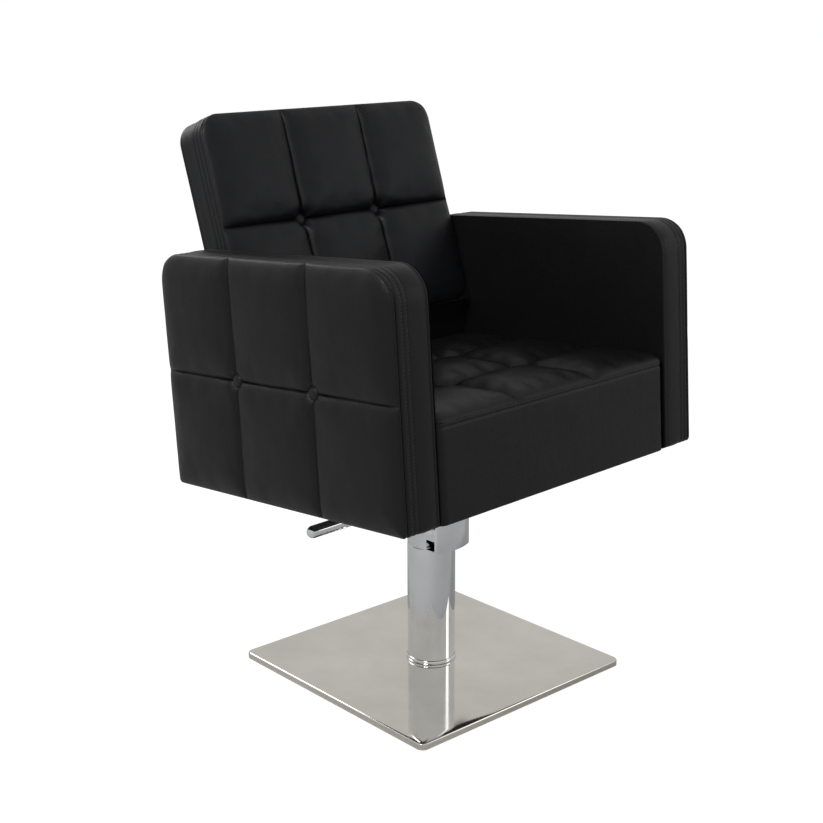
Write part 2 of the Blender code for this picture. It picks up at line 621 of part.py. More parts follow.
# ---------------------------------------------------------------- foot lever and plunger
def make_lever():
    pivot = empty("lever_pivot", (PIN_X, 0, LEVER_Z))
    right = LUG_HALF_LENGTH
    left = -PIN_X - YOKE_LEFT
    ring = [(u + (left + right) / 2, v) for u, v in
            rounded_outline((right - left) / 2, YOKE_HALF, YOKE_CORNER, YOKE_CORNER, steps=3)]
    yoke = loft("lever_yoke", [at_height(ring, -YOKE_THICK / 2), at_height(ring, YOKE_THICK / 2)],
                CHROME, parent=pivot)
    boss = tube_cutter("yoke_boss", YOKE_BOSS_R, 0, YOKE_BOSS_LEFT - YOKE_LEFT + YOKE_BOSS_ROOT, LEVER_STEPS,
                       parent=pivot, location=(left + YOKE_BOSS_ROOT, 0, 0), rotation=ALONG_MINUS_X)
    boolean(yoke, boss, "UNION")
    slot_left = -PIN_X - RAM_R - YOKE_SLOT_GAP
    slot_right = -PIN_X + RAM_R + YOKE_SLOT_GAP
    boolean(yoke, box("yoke_slot", (slot_left, -YOKE_SLOT_HALF, -YOKE_THICK), (slot_right, YOKE_SLOT_HALF, YOKE_THICK),
                      CHROME, parent=pivot))
    boolean(yoke, tube_cutter("yoke_pin_bore", PIN_R + CLEARANCE, -YOKE_HALF - OVERCUT, YOKE_HALF + OVERCUT, SMALL_STEPS,
                              parent=pivot, rotation=ALONG_PLUS_Y))
    root = YOKE_LEFT + LEVER_ROD_ROOT
    boolean(yoke, tube_cutter("rod_socket", LEVER_ROD_R + CLEARANCE, 0, YOKE_BOSS_LEFT, LEVER_STEPS, parent=pivot,
                              location=(-PIN_X - root + CLEARANCE, 0, 0), rotation=ALONG_MINUS_X))
    length = LEVER_TIP_X - root
    dome = [(LEVER_ROD_R * math.cos(a), length - LEVER_ROD_R * (1 - math.sin(a)))
            for a in [math.radians(85) * k / 5 for k in range(6)]]
    turned("lever_rod", [(LEVER_ROD_R, 0)] + dome, CHROME, LEVER_STEPS, parent=pivot,
           location=(-PIN_X - root, 0, 0), rotation=ALONG_MINUS_X)

    cap_bottom = PLUNGER_TOP - PLUNGER_CAP_H
    turned("pump_plunger", [(PLUNGER_R, PLUNGER_FOOT_Z), (PLUNGER_R, cap_bottom), (PLUNGER_CAP_R, cap_bottom),
                            (PLUNGER_CAP_R, PLUNGER_TOP - PLUNGER_CAP_DROP), (PLUNGER_TIP_R, PLUNGER_TOP)],
           STEEL, SMALL_STEPS, parent=column, location=(-PLUNGER_X, 0, 0))
    spring_coil(cap_bottom - CLEARANCE)


def spring_coil(top):
    """The lever's return spring: one wound wire round the plunger."""
    wire_r = SPRING_WIRE / 2
    coil_r = PLUNGER_R + CLEARANCE + wire_r + SPRING_FIT
    low = SPRING_SEAT_Z + wire_r
    high = top - wire_r
    curve = bpy.data.curves.new("plunger_spring", "CURVE")
    curve.dimensions = "3D"
    curve.bevel_depth = wire_r
    curve.bevel_resolution = 1
    curve.use_fill_caps = True
    spline = curve.splines.new("POLY")
    total = SPRING_TURNS * SPRING_STEPS
    spline.points.add(total)
    for k in range(total + 1):
        turn = math.tau * k / SPRING_STEPS
        rise = low + (high - low) * k / total
        spline.points[k].co = (coil_r * math.cos(turn), coil_r * math.sin(turn), rise, 1.0)
    curve.materials.append(STEEL)
    made = bpy.data.objects.new("plunger_spring", curve)
    made.parent = column
    made.location = (-PLUNGER_X, 0, 0)
    bpy.context.collection.objects.link(made)


# ---------------------------------------------------------------- ram and mounting plate
seat = empty("seat_lean", (0, 0, SEAT_BASE_Z), (-SEAT_LEAN, 0, 0))


def make_mount():
    turned("ram", [(RAM_FOOT_R, RAM_BOTTOM), (RAM_FOOT_R, RAM_BOTTOM + RAM_FOOT_H),
                   (RAM_R, RAM_BOTTOM + RAM_FOOT_H), (RAM_R, RAM_TOP)], CHROME, parent=column)
    ring = rounded_outline(MOUNT_HALF_X, MOUNT_HALF_Y, MOUNT_CORNER, MOUNT_CORNER, steps=3)
    top = -CLEARANCE
    plate = loft("seat_mount_plate", [at_height(ring, top - MOUNT_THICK), at_height(ring, top)],
                 BLACK_STEEL, parent=seat)
    hub_top = SEAT_BASE_Z - CLEARANCE - MOUNT_THICK / 2
    boolean(plate, tube_cutter("hub", HUB_R, HUB_BOTTOM, hub_top, parent=column), "UNION")
    boolean(plate, tube_cutter("hub_bore", RAM_R + CLEARANCE, HUB_BOTTOM - OVERCUT, HUB_BORE_TOP, parent=column))
    for number, (side_x, side_y) in enumerate(((-1, -1), (1, -1), (1, 1), (-1, 1))):
        spot = (side_x * MOUNT_BOLT_SPACING, side_y * MOUNT_BOLT_SPACING, 0)
        low = top - MOUNT_THICK - CLEARANCE
        bolt(f"mount_bolt_{number + 1}", MOUNT_BOLT_R, MOUNT_BOLT_REACH - low, MOUNT_BOLT_HEAD_R,
             MOUNT_BOLT_HEAD_H, STEEL, parent=seat, location=(spot[0], spot[1], low))
        boolean(plate, bolt_hole(f"mount_hole_{number + 1}", MOUNT_BOLT_R, low - OVERCUT, top + OVERCUT,
                                 parent=seat, location=spot))
        boolean(board, bolt_hole(f"board_hole_{number + 1}", MOUNT_BOLT_R, -OVERCUT, MOUNT_BOLT_REACH + CLEARANCE,
                                 parent=seat, location=spot))


# ---------------------------------------------------------------- seat
def make_seat_board():
    front = -BODY_FRONT + BOARD_FRONT_INSET
    rear = BRACKET_Y - CLEARANCE
    return box("seat_board", (-SEAT_HALF, front, 0), (SEAT_HALF, rear, BOARD_THICK), BLACK_BOARD, parent=seat)


def make_seat():
    half_y = (SEAT_REAR + BODY_FRONT) / 2
    middle_y = (SEAT_REAR - BODY_FRONT) / 2
    column_step = SEAT_HALF * 2 / 3
    rows = [y - middle_y for y in SEAT_ROWS]
    cushion = tufted_pad("seat_cushion", SEAT_HALF, half_y, SEAT_CORNER, SEAT_CORNER,
                         (-column_step / 2, column_step / 2), rows,
                         (SEAT_EDGE, SEAT_CROWN, SEAT_SINK, SEAT_SEAM_Z, 0.0),
                         parent=seat, location=(0, middle_y, SEAT_SEAM_Z))
    cut_front = -BODY_FRONT + BOARD_FRONT_INSET - CLEARANCE
    boolean(cushion, box("board_room", (-SEAT_HALF - OVERCUT, cut_front, -OVERCUT),
                         (SEAT_HALF + OVERCUT, SEAT_REAR + OVERCUT, RAIL_BOTTOM), LEATHER, parent=seat))
    inner = SEAT_HALF - RAIL_WIDTH
    for side, label in ((-1, "left"), (1, "right")):
        near, far = sorted((side * inner, side * SEAT_HALF))
        rail_top = RAIL_BOTTOM + RAIL_HEIGHT
        rail = box(f"seat_rail_{label}", (near, RAIL_FRONT, RAIL_BOTTOM), (far, RAIL_REAR, rail_top), PLYWOOD,
                   parent=seat)
        room_near, room_far = sorted((side * (inner - BOLT_POCKET), side * (SEAT_HALF + OVERCUT)))
        boolean(cushion, box(f"rail_room_{label}", (room_near, RAIL_FRONT - CLEARANCE, RAIL_BOTTOM - OVERCUT),
                             (room_far, RAIL_REAR + CLEARANCE, rail_top + CLEARANCE), LEATHER, parent=seat))
        arm_bolts(side, label, rail, inner)
    for row, place in zip(SEAT_ROWS, ("front", "rear")):
        for side, label in ((-1, "left"), (1, "right")):
            button(f"seat_button_{label}_{place}", parent=seat,
                   location=(side * column_step / 2, row, SEAT_SEAM_Z + SEAT_SINK + CLEARANCE))


def arm_bolts(side, label, rail, inner):
    turn = ALONG_PLUS_X if side > 0 else ALONG_MINUS_X
    for spot_y, place in zip(ARM_BOLT_Y, ("front", "rear")):
        start = (side * (inner - CLEARANCE), spot_y, ARM_BOLT_Z)
        length = ARM_INNER + ARM_COVER_WALL + ARM_BOLT_REACH - inner
        bolt(f"arm_bolt_{label}_{place}", ARM_BOLT_R, length, ARM_BOLT_HEAD_R, ARM_BOLT_HEAD_H, STEEL,
             parent=seat, location=start, rotation=turn)
        for target, tag in ((rail, "rail"), (covers[label], "cover"), (frames[label], "frame")):
            boolean(target, bolt_hole(f"{tag}_hole_{label}_{place}", ARM_BOLT_R, -OVERCUT, length + CLEARANCE * 2,
                                      parent=seat, location=start, rotation=turn))


# ---------------------------------------------------------------- arms
covers, frames = {}, {}


def make_arms():
    half_u, half_v = ARM_DEPTH / 2, ARM_HEIGHT / 2

    def ring(inset, z):
        return at_height(rounded_outline(half_u, half_v, ARM_TOP_RADIUS, ARM_BOTTOM_RADIUS, inset), z)

    depth = ARM_SEAM - ARM_INNER
    soft = [(ARM_EDGE_ROUND * (1 - math.sin(a)), ARM_EDGE_ROUND * (1 - math.cos(a)))
            for a in [math.radians(30) * k for k in range(4)]]
    tray = [ring(inset, z) for inset, z in soft]
    tray += [ring(0, depth), ring(ARM_COVER_WALL, depth), ring(ARM_COVER_WALL, ARM_COVER_WALL)]
    core_inset = ARM_COVER_WALL + CLEARANCE
    core = [ring(core_inset, core_inset), ring(core_inset, depth)]
    column_step = ARM_DEPTH / 3
    for side, label in ((-1, "left"), (1, "right")):
        # The arm's own axes: u runs along the arm, v up, and z outwards.
        turn = Matrix(((0, 0, side), (side, 0, 0), (0, 1, 0))).to_euler()
        place = empty(f"arm_{label}", (side * ARM_INNER, ARM_CENTRE_Y, half_v), turn, seat)
        covers[label] = loft(f"arm_cover_{label}", tray, LEATHER, parent=place)
        frames[label] = loft(f"arm_frame_{label}", core, PLYWOOD, parent=place)
        seam = depth + CLEARANCE
        tufted_pad(f"arm_pad_{label}", half_u, half_v, ARM_TOP_RADIUS, ARM_BOTTOM_RADIUS,
                   (-column_step / 2, column_step / 2), (0.0,),
                   (ARM_PAD_EDGE, ARM_PAD_CROWN, ARM_PAD_SINK, 0.0, 0.0), parent=place, location=(0, 0, seam))
        for tuft, end in ((-side, "front"), (side, "rear")):
            button(f"arm_button_{label}_{end}", parent=place,
                   location=(tuft * column_step / 2, 0, seam + ARM_PAD_SINK + CLEARANCE))


# ---------------------------------------------------------------- back
def on_back(depth, up):
    """A point behind the back's front plane and up it, in the seat's frame."""
    sine, cosine = math.sin(BACK_LEAN), math.cos(BACK_LEAN)
    return Vector((0, BACK_FOOT_Y + depth * cosine + up * sine, BACK_FOOT_Z - depth * sine + up * cosine))


def on_back_at(depth, y=None, z=None):
    """The point of the same plane at a given y or z."""
    start = on_back(depth, 0)
    up = (y - start.y) / math.sin(BACK_LEAN) if z is None else (z - start.z) / math.cos(BACK_LEAN)
    return on_back(depth, up)


def make_back():
    lean = empty("back_lean", (0, BACK_FOOT_Y, BACK_FOOT_Z), (-BACK_LEAN, 0, 0), seat)
    half_u, half_v = BACK_WIDTH / 2, BACK_HEIGHT / 2
    # The pad's own axes: u to the side, v up the back, z out of its front.
    face = empty("back_face", (0, 0, half_v), (math.radians(90), 0, 0), lean)
    column_step = BACK_WIDTH / 3
    seam = -BACK_SEAM_SET
    pad = tufted_pad("back_pad", half_u, half_v, BACK_TOP_RADIUS, BACK_BOTTOM_RADIUS,
                     (-column_step / 2, column_step / 2), (0.0,),
                     (BACK_EDGE, BACK_CROWN, BACK_SINK, BACK_THICK, 0.002), parent=face, location=(0, 0, seam))
    rear = -BACK_REAR_DEPTH

    def ring(inset, z):
        return at_height(rounded_outline(half_u, half_v, BACK_TOP_RADIUS, BACK_BOTTOM_RADIUS, inset), z)

    pocket = [ring(BACK_WALL, rear - OVERCUT), ring(BACK_WALL, CLEARANCE - BOARD_FRONT_DEPTH)]
    boolean(pad, loft("board_pocket", pocket, LEATHER, parent=face))
    back_board = loft("back_board", [ring(BACK_WALL + CLEARANCE, -BOARD_REAR_DEPTH),
                                     ring(BACK_WALL + CLEARANCE, -BOARD_FRONT_DEPTH)], PLYWOOD, parent=face)
    cover_front = rear - CLEARANCE
    cover_round = BACK_COVER_THICK / 2
    loft("back_cover", [ring(BACK_COVER_INSET, cover_front), ring(BACK_COVER_INSET, cover_front - cover_round),
                        ring(BACK_COVER_INSET + cover_round * 0.4, cover_front - cover_round * 1.6),
                        ring(BACK_COVER_INSET + cover_round, cover_front - BACK_COVER_THICK)], LEATHER, parent=face)
    for tuft, label in ((-1, "left"), (1, "right")):
        button(f"back_button_{label}", parent=face,
               location=(tuft * column_step / 2, 0, seam + BACK_SINK + CLEARANCE))
    make_brackets(lean, back_board, pad)


def make_brackets(lean, back_board, pad):
    """Bent flat bars: an upright leg on the seat board's rear edge and a leaning leg behind the back's board."""
    front_depth, rear_depth = BRACKET_DEPTH, BRACKET_DEPTH + BRACKET_THICK
    upright_front, upright_rear = BRACKET_Y, BRACKET_Y + BRACKET_THICK
    profile = [Vector((0, upright_front, 0.0)), on_back_at(front_depth, y=upright_front),
               on_back(front_depth, BRACKET_REACH), on_back(rear_depth, BRACKET_REACH),
               on_back_at(rear_depth, y=upright_rear), Vector((0, upright_rear, 0.0))]
    for side, label in ((-1, "left"), (1, "right")):
        near, far = sorted((side * BRACKET_X - BRACKET_WIDTH / 2, side * BRACKET_X + BRACKET_WIDTH / 2))
        rings = [[(x, point.y, point.z) for point in profile] for x in (near, far)]
        bracket = loft(f"back_bracket_{label}", rings, BLACK_STEEL, parent=seat)
        passage = BRACKET_WIDTH / 2 + BRACKET_ROOM
        boolean(pad, box(f"bracket_room_{label}", (-passage, front_depth - CLEARANCE, -OVERCUT),
                         (passage, BACK_REAR_DEPTH + OVERCUT, BACK_WALL + OVERCUT), LEATHER, parent=lean,
                         location=(side * BRACKET_X, 0, 0)))
        upper = (side * BRACKET_X, rear_depth + CLEARANCE, BACK_BOLT_UP)
        reach = BRACKET_THICK + BACK_BOLT_REACH
        bolt(f"back_bolt_{label}", BACK_BOLT_R, reach, BACK_BOLT_HEAD_R, BACK_BOLT_HEAD_H, STEEL,
             parent=lean, location=upper, rotation=ALONG_MINUS_Y)
        lower = (side * BRACKET_X, upright_rear + CLEARANCE, FOOT_BOLT_Z)
        foot_reach = BRACKET_THICK + FOOT_BOLT_REACH
        bolt(f"bracket_bolt_{label}", BACK_BOLT_R, foot_reach, BACK_BOLT_HEAD_R, BACK_BOLT_HEAD_H, STEEL,
             parent=seat, location=lower, rotation=ALONG_MINUS_Y)
        for target, tag in ((bracket, "bracket"), (back_board, "board")):
            boolean(target, bolt_hole(f"back_{tag}_hole_{label}", BACK_BOLT_R, -OVERCUT, reach + CLEARANCE,
                                      parent=lean, location=upper, rotation=ALONG_MINUS_Y))
        for target, tag in ((bracket, "bracket"), (board, "seat_board")):
            boolean(target, bolt_hole(f"foot_{tag}_hole_{label}", BACK_BOLT_R, -OVERCUT, foot_reach + CLEARANCE,
                                      parent=seat, location=lower, rotation=ALONG_MINUS_Y))


def make_rear_panels():
    """Two upholstered boards close the body under the back; the brackets stand between them."""
    near, far = SEAT_REAR + CLEARANCE, SEAT_REAR + CLEARANCE + INNER_PANEL_THICK
    profile = [(near, RAIL_BOTTOM), (far, RAIL_BOTTOM)]
    profile += [(y, BACK_FOOT_Z - (y - BACK_FOOT_Y) * math.tan(BACK_LEAN) - REAR_PANEL_GAP) for y in (far, near)]
    rings = [[(x, y, z) for y, z in profile] for x in (-SEAT_HALF, SEAT_HALF)]
    loft("inner_rear_panel", rings, LEATHER, parent=seat)
    bolt_rear = BRACKET_Y + BRACKET_THICK + BACK_BOLT_HEAD_H + CLEARANCE
    panel_top = on_back(BACK_REAR_DEPTH + CLEARANCE + BACK_COVER_THICK, 0).z - REAR_PANEL_GAP
    bracket_rear = on_back_at(BRACKET_DEPTH + BRACKET_THICK, z=panel_top).y
    front = max(bolt_rear, bracket_rear) + CLEARANCE
    half_v = panel_top / 2
    rings = []
    for inset, depth in ((0, 0), (0, REAR_PANEL_THICK - REAR_PANEL_ROUND),
                         (REAR_PANEL_ROUND * 0.3, REAR_PANEL_THICK - REAR_PANEL_ROUND * 0.3),
                         (REAR_PANEL_ROUND, REAR_PANEL_THICK)):
        outline = rounded_outline(SEAT_HALF, half_v, REAR_PANEL_ROUND, REAR_PANEL_ROUND, inset, steps=2)
        rings.append([(u, front + depth, v + half_v) for u, v in outline])
    loft("rear_panel", rings, LEATHER, parent=seat)


make_base()
make_column()
make_pump_head()
make_piston()
make_lever()
board = make_seat_board()
make_mount()
make_arms()
make_seat()
make_back()
make_rear_panels()
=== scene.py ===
import math

import bmesh
import bpy
from mathutils import Matrix, Vector, noise


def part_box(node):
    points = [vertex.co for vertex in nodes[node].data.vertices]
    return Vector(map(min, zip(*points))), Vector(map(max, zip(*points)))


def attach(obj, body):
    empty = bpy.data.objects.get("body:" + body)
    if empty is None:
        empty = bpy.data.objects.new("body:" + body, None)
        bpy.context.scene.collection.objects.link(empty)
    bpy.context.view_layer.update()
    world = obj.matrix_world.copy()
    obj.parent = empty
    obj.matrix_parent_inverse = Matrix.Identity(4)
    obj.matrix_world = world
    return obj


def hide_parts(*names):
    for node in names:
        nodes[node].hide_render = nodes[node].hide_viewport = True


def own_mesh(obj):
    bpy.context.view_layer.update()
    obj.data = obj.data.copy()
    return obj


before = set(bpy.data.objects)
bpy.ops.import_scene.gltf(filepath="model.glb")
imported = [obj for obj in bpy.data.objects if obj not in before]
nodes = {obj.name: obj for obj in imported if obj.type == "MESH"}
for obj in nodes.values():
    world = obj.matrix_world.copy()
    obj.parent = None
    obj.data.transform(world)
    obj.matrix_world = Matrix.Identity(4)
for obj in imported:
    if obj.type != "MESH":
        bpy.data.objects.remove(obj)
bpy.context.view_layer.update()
scene = bpy.context.scene
print("frame loaded:", len(nodes), "nodes")

# where the pieces stand, as in the CAD source; metres
chair = {"seatBase": 0.359, "lean": 4.08, "frontPlane": 0.277, "floorTurn": -3.0, "gap": 0.0003}
arm = {"depth": 0.517, "height": 0.368, "inner": 0.261, "outer": 0.3245, "topRound": 0.048, "bottomRound": 0.008,
       "wall": 0.010}
back = {"width": 0.497, "height": 0.358, "thick": 0.052, "footY": 0.136, "footZ": 0.225, "lean": 13.7,
        "topRound": 0.036, "bottomRound": 0.028, "seamSet": 0.004, "wall": 0.012,
        "bracketX": 0.150, "bracketGap": 0.022, "bracketFloor": -0.0431}

leanFrame = Matrix.Translation((0, 0, chair["seatBase"])) @ Matrix.Rotation(-math.radians(chair["lean"]), 4, "X")
backFoot = (leanFrame @ Matrix.Translation((0, back["footY"], back["footZ"]))
            @ Matrix.Rotation(-math.radians(back["lean"]), 4, "X"))
backFace = backFoot @ Matrix.Translation((0, 0, back["height"] / 2)) @ Matrix.Rotation(math.radians(90), 4, "X")
floorFrame = Matrix.Rotation(math.radians(chair["floorTurn"]), 4, "Z")


def armFace(side):   # u along the arm, v up, z outwards
    turn = Matrix(((0, 0, side, 0), (side, 0, 0, 0), (0, 1, 0, 0), (0, 0, 0, 1)))
    centre = (side * arm["inner"], arm["depth"] / 2 - chair["frontPlane"], arm["height"] / 2)
    return leanFrame @ Matrix.Translation(centre) @ turn


# ---- node trees
def addNode(tree, kind, **values):
    node = tree.nodes.new(kind)
    for key, value in values.items():
        if key in node.inputs.keys():
            node.inputs[key].default_value = value
        else:
            setattr(node, key, value)
    return node


def wire(tree, source, target):
    tree.links.new(source, target)


def newGroup(name, inputs, outputs):
    tree = bpy.data.node_groups.new(name, "ShaderNodeTree")
    for label, value in inputs:
        kind = "NodeSocketVector" if value is None else "NodeSocketFloat"
        socket = tree.interface.new_socket(label, in_out="INPUT", socket_type=kind)
        if value is not None:
            socket.default_value = value
    for label in outputs:
        tree.interface.new_socket(label, in_out="OUTPUT", socket_type="NodeSocketFloat")
    return tree, tree.nodes.new("NodeGroupInput"), tree.nodes.new("NodeGroupOutput")


def maths(tree, operation, first, second=None, third=None, clamp=False):
    node = tree.nodes.new("ShaderNodeMath")
    node.operation = operation
    node.use_clamp = clamp
    for index, value in enumerate((first, second, third)):
        if value is None:
            continue
        if isinstance(value, (int, float)):
            node.inputs[index].default_value = value
        else:
            wire(tree, value, node.inputs[index])
    return node.outputs[0]


def noiseNode(tree, vector, scale, detail=3.0, rough=0.5):
    node = addNode(tree, "ShaderNodeTexNoise", Detail=detail, Roughness=rough)
    wire(tree, vector, node.inputs["Vector"])
    if isinstance(scale, (int, float)):
        node.inputs["Scale"].default_value = scale
    else:
        wire(tree, scale, node.inputs["Scale"])
    return node.outputs["Fac"]


def leatherGrainGroup():
    # pebbles about a millimetre across, finer pores, and slow changes of gloss where hands rub
    tree, given, result = newGroup("leatherGrain", [("Vector", None), ("Pebbles", 900.0), ("Softness", 1.0), ("Wear", 0.5)],
                                   ["Tone", "Gloss", "Height"])
    pebble = addNode(tree, "ShaderNodeTexVoronoi", feature="SMOOTH_F1", Smoothness=0.35, Randomness=0.95)
    wire(tree, given.outputs["Vector"], pebble.inputs["Vector"])
    wire(tree, given.outputs["Pebbles"], pebble.inputs["Scale"])
    pores = noiseNode(tree, given.outputs["Vector"], 2600.0, 2.0)
    creases = noiseNode(tree, given.outputs["Vector"], 95.0, 4.0, 0.6)
    slow = noiseNode(tree, given.outputs["Vector"], 11.0, 3.0, 0.55)
    rounded = maths(tree, "SUBTRACT", 1.0, pebble.outputs["Distance"])
    grained = maths(tree, "MULTIPLY_ADD", pores, 0.25, rounded)
    lined = maths(tree, "MULTIPLY_ADD", creases, 0.9, grained)
    wire(tree, maths(tree, "MULTIPLY", lined, given.outputs["Softness"]), result.inputs["Height"])
    patch = maths(tree, "SUBTRACT", slow, 0.5)
    worn = maths(tree, "MULTIPLY", patch, given.outputs["Wear"])
    speck = maths(tree, "MULTIPLY_ADD", maths(tree, "SUBTRACT", creases, 0.5), 0.18, 0.5)
    wire(tree, maths(tree, "ADD", worn, speck, clamp=True), result.inputs["Tone"])
    dull = maths(tree, "MULTIPLY_ADD", pebble.outputs["Distance"], 0.10, 0.42)
    wire(tree, maths(tree, "MULTIPLY_ADD", worn, -0.30, dull), result.inputs["Gloss"])
    return tree


def metalMarksGroup():
    # fine rubbed lines, bent by a slow swirl, and broad clouding from wiping
    tree, given, result = newGroup("metalMarks", [("Vector", None), ("Fineness", 600.0), ("Clouds", 9.0)],
                                   ["Tone", "Gloss", "Height"])
    clouds = noiseNode(tree, given.outputs["Vector"], given.outputs["Clouds"], 5.0, 0.62)
    bent = addNode(tree, "ShaderNodeVectorMath", operation="MULTIPLY_ADD")
    swirl = addNode(tree, "ShaderNodeTexNoise", Scale=7.0, Detail=2.0)
    wire(tree, given.outputs["Vector"], swirl.inputs["Vector"])
    wire(tree, swirl.outputs["Color"], bent.inputs[0])
    bent.inputs[1].default_value = (0.05, 0.05, 0.05)
    wire(tree, given.outputs["Vector"], bent.inputs[2])
    fine = noiseNode(tree, bent.outputs[0], given.outputs["Fineness"], 2.0, 0.7)
    wire(tree, maths(tree, "MULTIPLY_ADD", maths(tree, "SUBTRACT", clouds, 0.5), 0.9, 0.5, clamp=True),
         result.inputs["Tone"])
    cloudy = maths(tree, "MULTIPLY", clouds, 0.6)
    wire(tree, maths(tree, "MULTIPLY_ADD", fine, 0.4, cloudy), result.inputs["Gloss"])
    wire(tree, fine, result.inputs["Height"])
    return tree


leatherGrain = leatherGrainGroup()
metalMarks = metalMarksGroup()


def newMaterial(name, group, sockets, **shaderValues):
    made = bpy.data.materials.new(name)
    made.use_nodes = True
    tree = made.node_tree
    shader = tree.nodes["Principled BSDF"]
    for key, value in shaderValues.items():
        shader.inputs[key].default_value = value
    place = tree.nodes.new("ShaderNodeTexCoord")
    effect = tree.nodes.new("ShaderNodeGroup")
    effect.node_tree = group
    wire(tree, place.outputs["Object"], effect.inputs["Vector"])
    for key, value in sockets.items():
        effect.inputs[key].default_value = value
    return made, tree, shader, effect


def rampTo(tree, source, target, stops):
    ramp = tree.nodes.new("ShaderNodeValToRGB")
    while len(ramp.color_ramp.elements) < len(stops):
        ramp.color_ramp.elements.new(0.5)
    for element, (position, colour) in zip(ramp.color_ramp.elements, stops):
        element.position = position
        element.color = (*colour, 1.0)
    wire(tree, source, ramp.inputs["Fac"])
    wire(tree, ramp.outputs["Color"], target)


def rangeTo(tree, source, target, low, high):
    node = addNode(tree, "ShaderNodeMapRange")
    node.inputs["To Min"].default_value = low
    node.inputs["To Max"].default_value = high
    wire(tree, source, node.inputs["Value"])
    wire(tree, node.outputs["Result"], target)


def bumpTo(tree, source, shader, strength, distance):
    bump = addNode(tree, "ShaderNodeBump", Strength=strength, Distance=distance)
    wire(tree, source, bump.inputs["Height"])
    wire(tree, bump.outputs["Normal"], shader.inputs["Normal"])


def leather(name, dark, light, pebbles=900.0, wear=0.5, gloss=(0.30, 0.48), bump=0.65):
    made, tree, shader, grain = newMaterial(name, leatherGrain, {"Pebbles": pebbles, "Wear": wear},
                                            **{"Specular IOR Level": 0.19, "Coat Weight": 0.03, "Coat Roughness": 0.20})
    rampTo(tree, grain.outputs["Tone"], shader.inputs["Base Color"], [(0.25, dark), (0.75, light)])
    rangeTo(tree, grain.outputs["Gloss"], shader.inputs["Roughness"], *gloss)
    bumpTo(tree, grain.outputs["Height"], shader, bump, 0.0004)
    return made


def metal(name, dark, light, gloss, fineness=600.0, clouds=9.0, bump=0.05, **more):
    made, tree, shader, marks = newMaterial(name, metalMarks, {"Fineness": fineness, "Clouds": clouds}, Metallic=1.0, **more)
    rampTo(tree, marks.outputs["Tone"], shader.inputs["Base Color"], [(0.2, dark), (0.8, light)])
    rangeTo(tree, marks.outputs["Gloss"], shader.inputs["Roughness"], *gloss)
    bumpTo(tree, marks.outputs["Height"], shader, bump, 0.0001)
    return made


def paint(name, dark, light, gloss, pebbles=500.0, bump=0.2, **more):
    made, tree, shader, grain = newMaterial(name, leatherGrain, {"Pebbles": pebbles, "Wear": 0.8}, **more)
    rampTo(tree, grain.outputs["Tone"], shader.inputs["Base Color"], [(0.2, dark), (0.8, light)])
    rangeTo(tree, grain.outputs["Gloss"], shader.inputs["Roughness"], *gloss)
    bumpTo(tree, grain.outputs["Height"], shader, bump, 0.0002)
    return made


def plywoodMaterial():
    made, tree, shader, marks = newMaterial("birchPlywood", metalMarks, {"Fineness": 180.0, "Clouds": 16.0})
    bands = addNode(tree, "ShaderNodeTexWave", Scale=260.0, Distortion=1.6, Detail=2.0)
    bands.bands_direction = "Z"
    place = next(n for n in tree.nodes if n.bl_idname == "ShaderNodeTexCoord")
    wire(tree, place.outputs["Object"], bands.inputs["Vector"])
    mixed = maths(tree, "MULTIPLY_ADD", bands.outputs["Fac"], 0.35, maths(tree, "MULTIPLY", marks.outputs["Tone"], 0.65))
    rampTo(tree, mixed, shader.inputs["Base Color"], [(0.15, (0.40, 0.25, 0.13)), (0.85, (0.62, 0.45, 0.27))])
    rangeTo(tree, marks.outputs["Gloss"], shader.inputs["Roughness"], 0.55, 0.8)
    bumpTo(tree, bands.outputs["Fac"], shader, 0.2, 0.0003)
    return made


# the seat's copy of the black leather: darker base as painted shade, with real rubbed wear patches and more gloss
seatLeatherWearAndPaintedShade = leather("seatLeatherWearAndPaintedShade", (0.0040, 0.0040, 0.0043), (0.0080, 0.0080, 0.0086), wear=0.7, gloss=(0.26, 0.42))
# the back's copy of the black leather: lighter and bluer base as painted light
backLeatherPaintedLight = leather("backLeatherPaintedLight", (0.0050, 0.0052, 0.0062), (0.0094, 0.0099, 0.0118))
armLeather = leather("armLeather", (0.0046, 0.0046, 0.0053), (0.0086, 0.0086, 0.0098))
# the bands' copy of the black leather: slightly darker base as painted shade
bandLeatherPaintedShade = leather("bandLeatherPaintedShade", (0.0044, 0.0044, 0.0050), (0.0082, 0.0082, 0.0093), gloss=(0.32, 0.50))
# the buttons' copy of the black leather: lighter base as a painted highlight on the domes
buttonLeatherPaintedHighlight = leather("buttonLeatherPaintedHighlight", (0.0080, 0.0080, 0.0088), (0.0140, 0.0140, 0.0156), pebbles=1100.0,
                        gloss=(0.28, 0.44))
# black thread given a lighter grey as a painted highlight, so the stitch rows show as light lines
paintedHighlightThread = paint("blackThreadPaintedHighlight", (0.030, 0.030, 0.033), (0.062, 0.062, 0.068), (0.40, 0.62), pebbles=2400.0, bump=0.5)
chrome = metal("chromePlate", (0.70, 0.71, 0.72), (0.84, 0.85, 0.86), (0.02, 0.06), clouds=14.0, bump=0.006)
stainless = metal("satinStainless", (0.64, 0.61, 0.55), (0.82, 0.79, 0.73), (0.04, 0.13), fineness=300.0, clouds=7.0,
                  bump=0.008)
turnedSteel = metal("turnedSteel", (0.30, 0.30, 0.31), (0.50, 0.50, 0.52), (0.25, 0.5), clouds=30.0, bump=0.1)
bronze = metal("turnedBronze", (0.45, 0.30, 0.13), (0.66, 0.47, 0.25), (0.25, 0.45), clouds=40.0, bump=0.1)
enamel = paint("blackEnamel", (0.012, 0.012, 0.012), (0.030, 0.030, 0.030), (0.30, 0.5), pebbles=260.0, bump=0.15)
